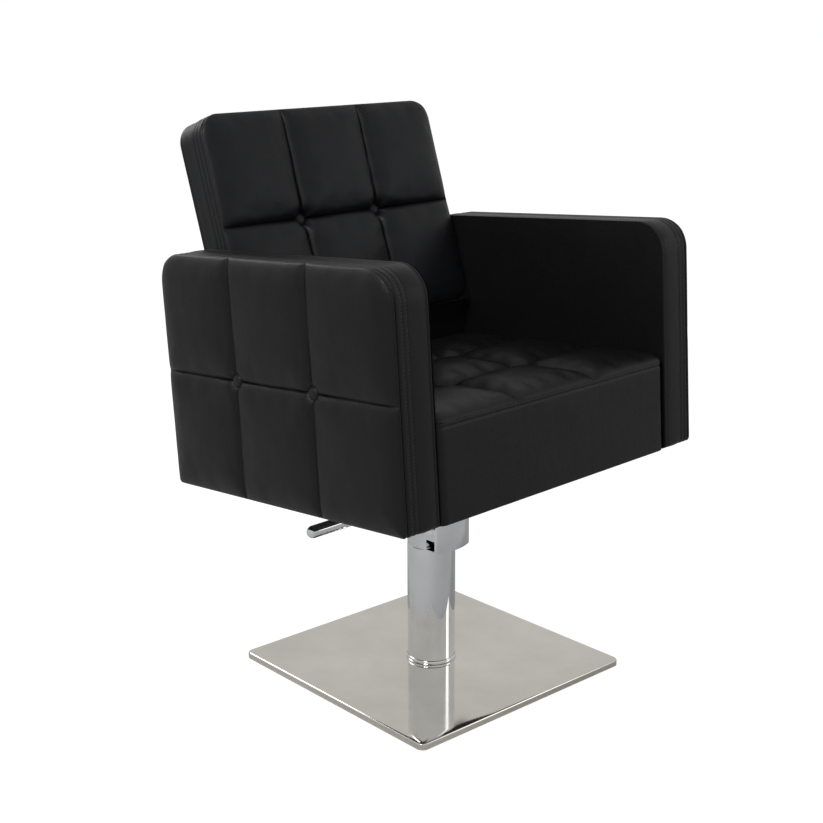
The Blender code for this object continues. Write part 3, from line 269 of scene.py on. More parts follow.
rubber = paint("blackRubber", (0.010, 0.010, 0.010), (0.028, 0.028, 0.028), (0.65, 0.9), pebbles=400.0, bump=0.4)
blackBoard = paint("blackBoard", (0.010, 0.010, 0.010), (0.024, 0.023, 0.022), (0.6, 0.85), pebbles=240.0, bump=0.3)
plywood = plywoodMaterial()
print("materials made")

finishes = {"rubber": (rubber, ["floor_pad", "wiper_seal", "piston_seal"]),
            "steel": (turnedSteel, ["base_plate", "pump_cylinder", "lever_pin", "piston", "pump_plunger", "plunger_spring"]),
            "bronze": (bronze, ["guide_bush"]),
            "enamel": (enamel, ["seat_mount_plate", "back_bracket_left", "back_bracket_right"]),
            "blackBoard": (blackBoard, ["seat_board"]),
            "plywood": (plywood, ["seat_rail_left", "seat_rail_right", "arm_frame_left",
                                  "arm_frame_right", "back_board"])}
finishes["steel"][1].extend(name for name in nodes if "_bolt_" in name)
for finish, members in finishes.values():
    for name in members:
        mesh = nodes[name].data
        if mesh.materials:
            mesh.materials[0] = finish
        else:
            mesh.materials.append(finish)
        for number in range(1, len(mesh.materials)):
            mesh.materials[number] = finish


# ---- mesh tools
def newPiece(name, verts, faces, look):
    mesh = bpy.data.meshes.new(name)
    mesh.from_pydata([tuple(v) for v in verts], [], faces)
    work = bmesh.new()
    work.from_mesh(mesh)
    bmesh.ops.recalc_face_normals(work, faces=work.faces)
    work.to_mesh(mesh)
    work.free()
    mesh.materials.append(look)
    made = bpy.data.objects.new(name, mesh)
    scene.collection.objects.link(made)
    return made


def baked(piece):   # the piece with its modifiers made real
    bpy.context.view_layer.update()
    ready = piece.evaluated_get(bpy.context.evaluated_depsgraph_get())
    mesh = bpy.data.meshes.new_from_object(ready)
    piece.modifiers.clear()
    old = piece.data
    piece.data = mesh
    mesh.name = old.name
    bpy.data.meshes.remove(old)
    return piece


def smoothed(piece, angle=35):
    piece.data.shade_smooth()
    piece.data.set_sharp_from_angle(angle=math.radians(angle))
    return piece


def settle(piece, body, slotName, *replaced, matrix=None):
    if matrix is not None:
        piece.data.transform(matrix)
        if matrix.determinant() < 0:
            piece.data.flip_normals()
    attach(piece, body)
    if replaced:
        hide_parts(*replaced)
    return piece


def skin(rings, closed=False, capped=True):
    count = len(rings[0])
    verts = [point for ring in rings for point in ring]
    faces = []
    for level in range(len(rings) if closed else len(rings) - 1):
        here, above = level * count, (level + 1) % len(rings) * count
        for k in range(count):
            after = (k + 1) % count
            faces.append((here + k, here + after, above + after, above + k))
    if capped and not closed:
        faces += [tuple(range(count)), tuple(range((len(rings) - 1) * count, len(rings) * count))]
    return verts, faces


def turnedPiece(name, profile, look, steps=96, closed=False):
    rings = [[(r * math.cos(math.tau * k / steps), r * math.sin(math.tau * k / steps), z) for k in range(steps)]
             for r, z in profile]
    return newPiece(name, *skin(rings, closed), look)


def cutWith(piece, tool, operation="DIFFERENCE"):
    modifier = piece.modifiers.new("cut", "BOOLEAN")
    modifier.operation = operation
    modifier.solver = "EXACT"
    modifier.object = tool
    baked(piece)
    bpy.data.objects.remove(tool, do_unlink=True)
    return piece


def blockTool(low, high):
    (x0, y0, z0), (x1, y1, z1) = low, high
    rings = [[(x0, y0, z), (x1, y0, z), (x1, y1, z), (x0, y1, z)] for z in (z0, z1)]
    return newPiece("tool", *skin(rings), chrome)


def rodTool(radius, low, high, matrix=None, steps=48):
    made = turnedPiece("tool", [(radius, low), (radius, high)], chrome, steps)
    if matrix is not None:
        made.data.transform(matrix)
    return made


def softEdges(piece, width, segments=2, angle=40):
    bevel = piece.modifiers.new("softEdges", "BEVEL")
    bevel.width = width
    bevel.segments = segments
    bevel.limit_method = "ANGLE"
    bevel.angle_limit = math.radians(angle)
    bevel.harden_normals = False
    baked(piece)
    return smoothed(piece, 30)


# ---- upholstery
def roundedRise(distance, reach):
    share = min(max(distance / reach, 0.0), 1.0)
    return math.sqrt(1 - (1 - share) ** 2)


def easedLines(half, channels, spacing):   # close together at the border and the channels
    stops = [-half, *channels, half]
    lines = []
    for first, second in zip(stops, stops[1:]):
        width = second - first
        count = max(8, round(width / spacing))
        for k in range(count):
            share = k / count
            lines.append(first + width * (share - 0.72 * math.sin(math.tau * share) / math.tau))
    return lines + [half]


def edgeOf(u, v, shape):   # distance inside the rounded outline, and the way out of it
    radius = shape["topRound"] if v > 0 else shape["bottomRound"]
    offU = abs(u) - (shape["halfU"] - radius)
    offV = abs(v) - (shape["halfV"] - radius)
    outside = math.hypot(max(offU, 0), max(offV, 0))
    inside = radius - outside - min(max(offU, offV), 0)
    if offU > 0 and offV > 0:
        way = (offU / outside, offV / outside)
    else:
        way = (1, 0) if offU > offV else (0, 1)
    return inside, (math.copysign(way[0], u), math.copysign(way[1], v))


def intoCorner(u, v, shape):
    radius = shape["topRound"] if v > 0 else shape["bottomRound"]
    offU = abs(u) - (shape["halfU"] - radius)
    offV = abs(v) - (shape["halfV"] - radius)
    if offU <= 0 or offV <= 0:
        return u, v
    scale = max(offU, offV) / math.hypot(offU, offV)
    return (math.copysign(shape["halfU"] - radius + offU * scale, u),
            math.copysign(shape["halfV"] - radius + offV * scale, v))


def tuftHeight(shape, dome):
    # crowned pillows between channels that deepen towards the buttons
    columns, rows = shape["columns"], shape["rows"]

    def height(u, v):
        inside, _ = edgeOf(u, v, shape)
        border = roundedRise(inside, shape["borderReach"])
        creases = []
        for lines, across, along, others in ((columns, u, v, rows), (rows, v, u, columns)):
            for line in lines:
                wander = shape["wander"] * noise.noise(Vector((along * 9, line * 40, 3.1)))
                off = abs(across - line - wander)
                span = min(abs(along - other) for other in others) if others else 0.1
                depth = shape["shallow"] + (shape["deep"] - shape["shallow"]) * math.exp(-span / shape["fade"])
                wide = (1 - roundedRise(off, shape["pillowReach"])) * shape["pillowShare"]
                tight = (1 - roundedRise(off, shape["shoulder"])) * (1 - shape["pillowShare"])
                creases.append(depth * (wide + tight))
        for tuftU in columns:
            for tuftV in rows:
                radius = math.hypot(u - tuftU, v - tuftV)
                turn = math.atan2(v - tuftV, u - tuftU)
                pucker = 1 + 0.05 * math.cos(turn * 8 + tuftU * 60) * math.exp(-(radius / 0.03) ** 2)
                dip = 1 - roundedRise(radius - shape["buttonSeat"], shape["dimple"])
                creases.append(shape["deep"] * dip * pucker)
        crease = sum(c ** 4 for c in creases) ** 0.25 if creases else 0.0
        drape = shape["drape"] * noise.noise(Vector((u * 16, v * 16, shape["seed"])))
        drape += shape["drape"] * 0.35 * noise.noise(Vector((u * 48, v * 48, shape["seed"] + 5)))
        near = min(math.hypot(u - tuftU, v - tuftV) for tuftU in columns for tuftV in rows)
        drape *= 1 - math.exp(-(near / 0.03) ** 2)
        full = shape["crown"] - shape["edge"] + drape
        swell = shape["rise"] * dome(u, v)
        return shape["edge"] + full * border + swell - min(crease, shape["deep"] * 1.02) * border ** 0.7
    return height


def flatHeight(shape):
    def height(u, v):
        inside, _ = edgeOf(u, v, shape)
        calm = min(inside / 0.03, 1.0)
        slack = shape["drape"] * noise.noise(Vector((u * 14, v * 14, shape["seed"])))
        return shape["edge"] + calm * (shape["crown"] + slack)
    return height


def upholstered(name, shape, height, profile, look):
    # a face laid over a rounded outline, then its sides ring by ring, then a flat back
    linesU = easedLines(shape["halfU"], shape["columns"], shape["spacing"])
    linesV = easedLines(shape["halfV"], shape["rows"], shape["spacing"])
    verts, index = [], {}
    for i, u in enumerate(linesU):
        for j, v in enumerate(linesV):
            x, y = intoCorner(u, v, shape)
            index[i, j] = len(verts)
            verts.append((x, y, height(x, y)))
    lastI, lastJ = len(linesU) - 1, len(linesV) - 1
    faces = [(index[i, j], index[i + 1, j], index[i + 1, j + 1], index[i, j + 1])
             for i in range(lastI) for j in range(lastJ)]
    border = [(i, 0) for i in range(lastI)] + [(lastI, j) for j in range(lastJ)]
    border += [(i, lastJ) for i in range(lastI, 0, -1)] + [(0, j) for j in range(lastJ, 0, -1)]
    ring = [index[key] for key in border]
    rim = [verts[number] for number in ring]
    for inset, z in profile:
        lower = []
        for x, y, _ in rim:
            _, way = edgeOf(x, y, shape)
            ripple = 0.00022 * noise.noise(Vector((x * 70, y * 70, z * 70)))
            lower.append(len(verts))
            verts.append((x - way[0] * (inset + ripple), y - way[1] * (inset + ripple), z))
        for k in range(len(ring)):
            after = (k + 1) % len(ring)
            faces.append((ring[k], ring[after], lower[after], lower[k]))
        ring = lower
    faces.append(tuple(ring))
    return newPiece(name, verts, faces, look)


def swelling(name, shape):
    # how leather over foam swells between its seams: a light sheet held at them and blown up, as shares of its peak
    def stops(half, channels, steps):
        ends = [-half, *channels, half]
        return [low + (high - low) * k / steps for low, high in zip(ends, ends[1:]) for k in range(steps)] + [half]

    linesU, linesV = stops(shape["halfU"], shape["columns"], 11), stops(shape["halfV"], shape["rows"], 11)
    across, along = len(linesU), len(linesV)
    rise = [[0.0] * along for _ in linesU]
    verts = [(u, v, 0.0) for u in linesU for v in linesV]
    faces = [(i * along + j, (i + 1) * along + j, (i + 1) * along + j + 1, i * along + j + 1)
             for i in range(across - 1) for j in range(along - 1)]
    mesh = bpy.data.meshes.new(name)
    mesh.from_pydata(verts, [], faces)
    sheet = bpy.data.objects.new(name, mesh)
    scene.collection.objects.link(sheet)
    held = sheet.vertex_groups.new(name="held")
    held.add([i * along + j for i in range(across) for j in range(along) if i % 11 == 0 or j % 11 == 0], 1.0, "REPLACE")
    cloth = sheet.modifiers.new("cloth", "CLOTH")
    cloth.settings.vertex_group_mass = "held"
    cloth.settings.use_pressure = True
    cloth.settings.uniform_pressure_force = 4.0
    cloth.settings.effector_weights.gravity = 0.0
    cloth.settings.shrink_min = -shape["spare"]
    cloth.point_cache.frame_start, cloth.point_cache.frame_end = 1, 20
    for frameNumber in range(1, 21):
        scene.frame_set(frameNumber)
    baked(sheet)
    scene.frame_set(1)
    highest = sorted(vertex.co.z for vertex in sheet.data.vertices)[-across * along // 100]
    print(name, "swelled", round(highest * 1000, 1), "mm")
    for i in range(across):
        for j in range(along):
            rise[i][j] = min(sheet.data.vertices[i * along + j].co.z / highest, 1.02)
    bpy.data.objects.remove(sheet, do_unlink=True)

    def place(value, lines):
        number = max(k for k in range(len(lines) - 1) if k == 0 or lines[k] <= value)
        return number, (value - lines[number]) / (lines[number + 1] - lines[number])

    def share(u, v):
        i, a = place(u, linesU)
        j, b = place(v, linesV)
        return ((rise[i][j] * (1 - a) + rise[i + 1][j] * a) * (1 - b)
                + (rise[i][j + 1] * (1 - a) + rise[i + 1][j + 1] * a) * b)
    return share


def topStitched(seam, way=-1, stitch=0.0009):
    # inset and place of a felled seam with two rows of top stitching, from the seam outwards
    rows = [(0.0022, 0.0), (0.0008, 0.0012), (0.0001, 0.0030), (0.0, 0.0055), (0.0002, 0.0082), (stitch, 0.0098),
            (stitch, 0.0108), (0.0002, 0.0122), (0.0, 0.0148), (0.0002, 0.0172), (stitch, 0.0188), (stitch, 0.0198),
            (0.0003, 0.0214), (0.0001, 0.0240)]
    return [(inset, seam + way * along) for inset, along in rows]


def outlineAt(shape, inset, z, spacing=0.004):
    # an even run of points round the outline, for stitching
    points = []
    corners = ((1, -1, shape["bottomRound"]), (1, 1, shape["topRound"]), (-1, 1, shape["topRound"]),
               (-1, -1, shape["bottomRound"]))
    for number, (sideU, sideV, radius) in enumerate(corners):
        steps = max(6, round(radius * 1.57 / spacing))
        for k in range(steps + 1):
            angle = math.radians(-90 + 90 * number + 90 * k / steps)
            points.append((sideU * (shape["halfU"] - radius) + (radius - inset) * math.cos(angle),
                           sideV * (shape["halfV"] - radius) + (radius - inset) * math.sin(angle), z))
    return points + points[:1]


# ---- stitches, with Geometry Nodes
def stitchTree():
    tree = bpy.data.node_groups.new("seamStitches", "GeometryNodeTree")
    for label, kind, value in (("Geometry", "NodeSocketGeometry", None), ("Pitch", "NodeSocketFloat", 0.0052),
                               ("Length", "NodeSocketFloat", 0.0036), ("Thickness", "NodeSocketFloat", 0.0009),
                               ("Thread", "NodeSocketMaterial", None)):
        socket = tree.interface.new_socket(label, in_out="INPUT", socket_type=kind)
        if value is not None:
            socket.default_value = value
    tree.interface.new_socket("Geometry", in_out="OUTPUT", socket_type="NodeSocketGeometry")
    given, result = tree.nodes.new("NodeGroupInput"), tree.nodes.new("NodeGroupOutput")
    path = tree.nodes.new("GeometryNodeMeshToCurve")
    points = tree.nodes.new("GeometryNodeCurveToPoints")
    points.mode = "LENGTH"
    bead = tree.nodes.new("GeometryNodeMeshUVSphere")
    bead.inputs["Segments"].default_value = 6
    bead.inputs["Rings"].default_value = 4
    bead.inputs["Radius"].default_value = 0.5
    size = tree.nodes.new("ShaderNodeCombineXYZ")
    place = tree.nodes.new("GeometryNodeInstanceOnPoints")
    real = tree.nodes.new("GeometryNodeRealizeInstances")
    smooth = tree.nodes.new("GeometryNodeSetShadeSmooth")
    dye = tree.nodes.new("GeometryNodeSetMaterial")
    wire(tree, given.outputs["Geometry"], path.inputs["Mesh"])
    wire(tree, path.outputs["Curve"], points.inputs["Curve"])
    wire(tree, given.outputs["Pitch"], points.inputs["Length"])
    wire(tree, points.outputs["Points"], place.inputs["Points"])
    wire(tree, points.outputs["Rotation"], place.inputs["Rotation"])
    wire(tree, bead.outputs["Mesh"], place.inputs["Instance"])
    for key in ("X", "Y"):
        wire(tree, given.outputs["Thickness"], size.inputs[key])
    wire(tree, given.outputs["Length"], size.inputs["Z"])
    wire(tree, size.outputs[0], place.inputs["Scale"])
    wire(tree, place.outputs["Instances"], real.inputs["Geometry"])
    wire(tree, real.outputs["Geometry"], smooth.inputs["Geometry"])
    wire(tree, smooth.outputs["Geometry"], dye.inputs["Geometry"])
    wire(tree, given.outputs["Thread"], dye.inputs["Material"])
    wire(tree, dye.outputs["Geometry"], result.inputs["Geometry"])
    return tree


stitches = stitchTree()


def stitched(name, paths, body, matrix, **sizes):
    verts, edges = [], []
    for path in paths:
        start = len(verts)
        verts += path
        edges += [(start + k, start + k + 1) for k in range(len(path) - 1)]
    mesh = bpy.data.meshes.new(name)
    mesh.from_pydata(verts, edges, [])
    piece = bpy.data.objects.new(name, mesh)
    scene.collection.objects.link(piece)
    modifier = piece.modifiers.new("stitches", "NODES")
    modifier.node_group = stitches
    sockets = {item.name: item.identifier for item in stitches.interface.items_tree if item.in_out == "INPUT"}
    modifier[sockets["Thread"]] = paintedHighlightThread
    for key, value in sizes.items():
        modifier[sockets[key]] = value
    baked(piece)
    return settle(piece, body, "black_leather", matrix=matrix)


def coveredButton(name, node, matrix, radius=0.0104, height=0.0068):
    profile = [(radius * 0.80, 0.0), (radius * 0.97, height * 0.10), (radius, height * 0.24), (radius * 0.97, height * 0.42),
               (radius * 0.86, height * 0.63), (radius * 0.68, height * 0.81), (radius * 0.45, height * 0.93),
               (radius * 0.22, height * 0.985), (radius * 0.05, height)]
    piece = smoothed(turnedPiece(name, profile, buttonLeatherPaintedHighlight, 40), 60)
    return settle(piece, "seat", "black_leather", node, matrix=matrix)


# ---- arms
armPad = {"halfU": arm["depth"] / 2, "halfV": arm["height"] / 2, "topRound": arm["topRound"],
          "bottomRound": arm["bottomRound"], "columns": (-arm["depth"] / 6, arm["depth"] / 6), "rows": (0.0,),
          "spacing": 0.0044, "edge": 0.0030, "crown": 0.0112, "borderReach": 0.034, "shallow": 0.0052, "deep": 0.0092,
          "fade": 0.060, "pillowReach": 0.050, "pillowShare": 0.30, "shoulder": 0.011, "buttonSeat": 0.0085,
          "dimple": 0.024, "drape": 0.0009, "wander": 0.0012, "seed": 2.0, "rise": 0.0052, "spare": 0.005}
armBand = {"halfU": arm["depth"] / 2, "halfV": arm["height"] / 2, "topRound": arm["topRound"],
           "bottomRound": arm["bottomRound"], "columns": (), "rows": (), "spacing": 0.009, "edge": 0.0005,
           "crown": -0.0004, "drape": 0.0006, "seed": 8.0, "cornerRound": 0.0055}


armDome = swelling("armSheet", armPad)


def makeArm(side, label):
    matrix = armFace(side)
    depth = arm["outer"] - arm["inner"]
    pad = dict(armPad, seed=2.0 + side)
    pillow = upholstered(f"armPad{label}", pad, tuftHeight(pad, armDome),
                         [(0.0004, 0.0018), (0.0012, 0.0008), (0.0030, 0.0)], armLeather)
    smoothed(pillow, 60)
    seamFrame = matrix @ Matrix.Translation((0, 0, depth + chair["gap"]))
    settle(pillow, "seat", "black_leather", f"arm_pad_{label.lower()}", matrix=seamFrame)

    turn = armBand["cornerRound"]
    profile = [(turn * (1 - math.sin(a)) - 0.0003, turn * (1 - math.cos(a)))
               for a in [math.radians(x) for x in (25, 50, 75, 90)]]
    profile += [(0.0008, 0.0072), (0.0, 0.0092), (-0.0004, 0.0200), (-0.0006, 0.0300)]
    profile += [(inset, z) for inset, z in reversed(topStitched(depth)) if z > 0.0300]
    profile += [(arm["wall"], depth), (arm["wall"], arm["wall"])]
    band = upholstered(f"armBand{label}", armBand, flatHeight(armBand), profile, bandLeatherPaintedShade)
    smoothed(band, 50)
    settle(band, "seat", "black_leather", f"arm_cover_{label.lower()}", matrix=matrix)
    rows = [outlineAt(armBand, 0.0007, depth - along) for along in (0.0103, 0.0193)]
    stitched(f"armStitches{label}", rows, "seat", matrix)
    for end, place in ((-side, "front"), (side, "rear")):
        spot = seamFrame @ Matrix.Translation((end * arm["depth"] / 6, 0, 0.0020))
        coveredButton(f"armButton{label}{place.capitalize()}", f"arm_button_{label.lower()}_{place}", spot)


for side, label in ((-1, "Left"), (1, "Right")):
    makeArm(side, label)
print("arms made")

# ---- seat
seat = {"rear": 0.161, "seamZ": 0.1465, "columnStep": 0.1738, "rows": (-0.125, 0.028), "sink": -0.012,
        "boardThick": 0.018, "boardFront": 0.015, "railHeight": 0.050, "railWidth": 0.036, "pocket": 0.012,
        "railFront": -0.2003, "railRear": 0.1503}
seatHalf = arm["inner"] - chair["gap"]
seatMiddle = (seat["rear"] - chair["frontPlane"]) / 2
seatTop = {"halfU": seatHalf, "halfV": (seat["rear"] + chair["frontPlane"]) / 2, "topRound": 0.010, "bottomRound": 0.014,
           "columns": (-seat["columnStep"] / 2, seat["columnStep"] / 2), "rows": tuple(y - seatMiddle for y in seat["rows"]),
           "spacing": 0.0044, "edge": 0.0006, "crown": 0.0120, "borderReach": 0.034, "shallow": 0.0100, "deep": 0.0237,
           "fade": 0.070, "pillowReach": 0.055, "pillowShare": 0.55, "shoulder": 0.012, "buttonSeat": 0.0090,
           "dimple": 0.036, "drape": 0.0012, "wander": 0.0015, "seed": 21.0, "rise": 0.0110, "spare": 0.010}


def makeSeat():
    matrix = leanFrame @ Matrix.Translation((0, seatMiddle, seat["seamZ"]))
    base = -seat["seamZ"]
    profile = [(0.0012, 0.0), (0.0004, -0.0010), (0.0002, -0.0030), (0.0004, -0.0050), (0.0012, -0.0060),
               (0.0012, -0.0068), (0.0003, -0.0080), (0.0, -0.0110), (0.0, -0.0300), (0.0004, -0.0600), (0.0, -0.0900),
               (0.0, -0.1200), (0.0, base + 0.0025), (0.0005, base + 0.0008), (0.0016, base)]
    cushion = upholstered("seatCushion", seatTop, tuftHeight(seatTop, swelling("seatSheet", seatTop)), profile, seatLeatherWearAndPaintedShade)
    low = seat["boardThick"] + chair["gap"] + base
    cut = -chair["frontPlane"] + seat["boardFront"] - chair["gap"] - seatMiddle
    over = 0.002
    cutWith(cushion, blockTool((-seatHalf - over, cut, base - over), (seatHalf + over, seatTop["halfV"] + over, low)))
    inner = seatHalf - seat["railWidth"] - seat["pocket"]
    for side in (-1, 1):
        near, far = sorted((side * inner, side * (seatHalf + over)))
        cutWith(cushion, blockTool((near, seat["railFront"] - seatMiddle, low - over),
                                   (far, seat["railRear"] - seatMiddle, low + seat["railHeight"] + chair["gap"])))
    smoothed(cushion, 60)
    settle(cushion, "seat", "black_leather", "seat_cushion", matrix=matrix)
    half = seatTop["halfV"] - 0.0006
    rows = [[(x / 100 * (seatHalf - 0.016), -half - 0.0002, z) for x in range(-100, 101)] for z in (-0.0064, 0.0)]
    stitched("seatStitches", rows, "seat", matrix, Thickness=0.0008)
    for row, place in zip(seat["rows"], ("front", "rear")):
        for side, label in ((-1, "left"), (1, "right")):
            centre = (side * seat["columnStep"] / 2, row, seat["seamZ"] + seat["sink"] + 0.0003)
            spot = leanFrame @ Matrix.Translation(centre)
            coveredButton(f"seatButton{label.capitalize()}{place.capitalize()}", f"seat_button_{label}_{place}", spot)


makeSeat()
print("seat made")

# ---- back
backPad = {"halfU": back["width"] / 2, "halfV": back["height"] / 2, "topRound": back["topRound"],
           "bottomRound": back["bottomRound"], "columns": (-back["width"] / 6, back["width"] / 6), "rows": (0.0,),
           "spacing": 0.0044, "edge": 0.0030, "crown": 0.0100, "borderReach": 0.034, "shallow": 0.0075, "deep": 0.0217,
           "fade": 0.060, "pillowReach": 0.050, "pillowShare": 0.45, "shoulder": 0.011, "buttonSeat": 0.0090,
           "dimple": 0.032, "drape": 0.0010, "wander": 0.0012, "seed": 33.0, "rise": 0.0095, "spare": 0.005}
backRear = {"halfU": back["width"] / 2 - 0.001, "halfV": back["height"] / 2 - 0.001, "topRound": back["topRound"],
            "bottomRound": back["bottomRound"], "columns": (), "rows": (), "spacing": 0.010, "edge": 0.0,
            "crown": 0.0010, "drape": 0.0008, "seed": 41.0}


def makeBack():
    matrix = backFace @ Matrix.Translation((0, 0, -back["seamSet"]))
    rear = -back["thick"]
    profile = topStitched(0.0)
    profile += [(0.0006, -0.030), (0.0010, -0.040), (0.0008, rear + 0.004), (0.0012, rear), (back["wall"], rear),
                (back["wall"], rear + 0.0197)]
    pad = upholstered("backPad", backPad, tuftHeight(backPad, swelling("backSheet", backPad)), profile, backLeatherPaintedLight)
    for side in (-1, 1):
        near, far = (side * back["bracketX"] + sign * back["bracketGap"] for sign in (-1, 1))
        tool = blockTool((near, -backPad["halfV"] - 0.002, rear - 0.002),
                         (far, -backPad["halfV"] + back["wall"] + 0.001, back["bracketFloor"]))
        cutWith(pad, tool)
    smoothed(pad, 60)
    settle(pad, "seat", "black_leather", "back_pad", matrix=matrix)
    rows = [outlineAt(backPad, 0.0007, -along) for along in (0.0103, 0.0193)]
    stitched("backStitches", rows, "seat", matrix)

    flip = matrix @ Matrix.Translation((0, 0, rear - chair["gap"])) @ Matrix.Rotation(math.pi, 4, "Y")
    lifted = flip @ Matrix.Translation((0, 0, 0.0070))
    cover = upholstered("backCover", backRear, flatHeight(backRear),
                        [(-0.0002, -0.0008), (0.0, -0.0030), (0.0004, -0.0070)], backLeatherPaintedLight)
    smoothed(cover, 60)
    settle(cover, "seat", "black_leather", "back_cover", matrix=lifted)
    stitched("backCoverStitches", [outlineAt(backRear, 0.0120, 0.0008)], "seat", lifted)
    for side, label in ((-1, "left"), (1, "right")):
        spot = matrix @ Matrix.Translation((side * back["width"] / 6, 0, -0.0117))
        coveredButton(f"backButton{label.capitalize()}", f"back_button_{label}", spot)


makeBack()
print("back made")


# ---- panels behind the seat
def makeRearPanels():
    low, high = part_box("rear_panel")
    corners = [leanFrame.inverted() @ Vector((0, y, z)) for y in (low.y, high.y) for z in (low.z, high.z)]
    front = min(corner.y for corner in corners) + 0.0149
    top = 0.2086
    shape = {"halfU": seatHalf, "halfV": top / 2, "topRound": 0.006, "bottomRound": 0.006, "columns": (), "rows": (),
             "spacing": 0.010, "edge": 0.0, "crown": 0.0, "drape": 0.0006, "seed": 50.0}
    matrix = leanFrame @ Matrix.Translation((0, 0.2060, top / 2)) @ Matrix.Rotation(math.radians(-90), 4, "X")
    flipped = matrix @ Matrix.Rotation(math.pi, 4, "Z")
    panel = upholstered("rearPanel", shape, flatHeight(shape),
                        [(-0.0002, -0.0010), (0.0, -0.0040), (0.0, -0.0190)], bandLeatherPaintedShade)
    smoothed(panel, 60)
    settle(panel, "seat", "black_leather", "rear_panel", matrix=flipped)
    print("rear panel front", round(front, 4))

    profileY = (seat["rear"] + chair["gap"], seat["rear"] + chair["gap"] + 0.012)
    bottom = seat["boardThick"] + chair["gap"]
    slope = math.tan(math.radians(back["lean"]))
    rings = []
    for k in range(81):
        x = -seatHalf + 2 * seatHalf * k / 80
        ring = []
        for share in range(13):
            z = bottom + (back["footZ"] - (profileY[0] - back["footY"]) * slope - 0.0002 - bottom) * share / 12
            ring.append((x, profileY[0] + 0.0004 * noise.noise(Vector((x * 16, 0, z * 16))), z))
        ring.append((x, profileY[1], back["footZ"] - (profileY[1] - back["footY"]) * slope - 0.0002))
        ring.append((x, profileY[1], bottom))
        rings.append(ring)
    inner = smoothed(newPiece("innerRearPanel", *skin(rings), bandLeatherPaintedShade), 50)
    settle(inner, "seat", "black_leather", "inner_rear_panel", matrix=leanFrame)


makeRearPanels()
print("rear panels made")

# ---- base and column
base = {"side": 0.450, "corner": 0.012, "top": 0.0116, "wall": 0.0015, "under": 0.0101, "lift": 0.001, "round": 0.003}


def cornerRing(halfU, halfV, radius, inset, z, steps=12):
    points = []
    for number, (sideU, sideV) in enumerate(((1, -1), (1, 1), (-1, 1), (-1, -1))):
        r = max(radius - inset, 0.0004)
        for k in range(steps + 1):
            angle = math.radians(-90 + 90 * number + 90 * k / steps)
            points.append((sideU * (halfU - inset - r) + r * math.cos(angle),
                           sideV * (halfV - inset - r) + r * math.sin(angle), z))
    return points


def makeBase():
    half = base["side"] / 2
    levels = [(base["wall"], base["under"]), (base["wall"], base["lift"]), (0.0, base["lift"])]
    levels += [(base["round"] * (1 - math.cos(a)), base["top"] - base["round"] * (1 - math.sin(a)))
               for a in [math.radians(90 * k / 6) for k in range(7)]]
    levels += [(0.012, base["top"])]
    cover = newPiece("baseCover", *skin([cornerRing(half, half, base["corner"], i, z) for i, z in levels]), stainless)
    cutWith(cover, rodTool(0.033, 0.005, 0.02, steps=96))
    smoothed(cover, 30)
    settle(cover, "base", "satin_stainless", "base_cover", matrix=floorFrame)


def makeColumn():
    low, high = 0.0119, 0.2165
    sleeveShape = [(0.0380, low), (0.0400, low), (0.0400, high - 0.0006), (0.0396, high), (0.0380, high)]
    sleeve = smoothed(turnedPiece("columnSleeve", sleeveShape, chrome, 160, closed=True), 30)
    settle(sleeve, "base", "chrome", "column_sleeve")
    inner, outer = 0.0403, 0.0421
    ringShape = [(inner, low), (outer - 0.0003, low), (outer, low + 0.0005), (outer, low + 0.0036),
                 (outer - 0.0003, low + 0.0048), (outer - 0.0009, low + 0.0056), (inner + 0.0003, low + 0.0060),
                 (inner, low + 0.0058)]
    ring = smoothed(turnedPiece("columnRing", ringShape, chrome, 160, closed=True), 60)
    settle(ring, "base", "chrome", "column_ring")
    ramShape = [(0.0205, 0.0447), (0.0205, 0.0527), (0.0160, 0.0527), (0.0160, 0.3441), (0.0154, 0.3447)]
    ram = smoothed(turnedPiece("ramRod", ramShape, chrome, 96), 30)
    settle(ram, "seat", "chrome", "ram")


makeBase()
makeColumn()
print("base and column made")

# ---- pump head and foot lever
head = {"radius": 0.0398, "bottom": 0.2168, "blockBottom": 0.244, "blockTop": 0.258, "left": 0.0425, "right": 0.046,
        "corner": 0.010, "housingHalf": 0.038, "housingBottom": 0.2178, "edge": 0.0500, "bulge": 0.0085,
        "windowNear": 0.0260, "windowFar": 0.0445, "windowBottom": 0.2195, "windowTop": 0.2365, "windowDepth": 0.026,
        "wallTop": 0.2965, "bodyTop": 0.251, "spigotR": 0.0222, "ramBore": 0.018, "bushBore": 0.0206, "wiperBore": 0.0226,
        "wiperFloor": 0.2532, "plungerX": -0.031, "plungerBore": 0.0053, "plungerFloor": 0.2213, "pocketR": 0.0085,
        "pocketFloor": 0.2502, "cutTop": 0.26, "lugFoot": 0.254}
lever = {"pinX": 0.036, "z": 0.301, "pinBore": 0.0043, "lug": 0.008, "half": 0.036, "slot": 0.0225, "thick": 0.014,
         "left": 0.048, "bossR": 0.0145, "bossLeft": 0.070, "rodR": 0.010, "tip": 0.268, "root": 0.004,
         "bossStart": 0.046, "slotX": 0.023, "slotLow": 0.28, "slotHigh": 0.32, "rodBore": 0.0103, "rodFoot": 0.0517,
         "rodEnd": 0.08}


def alongPin():
    return Matrix.Translation((lever["pinX"], 0, lever["z"])) @ Matrix.Rotation(math.radians(90), 4, "X")


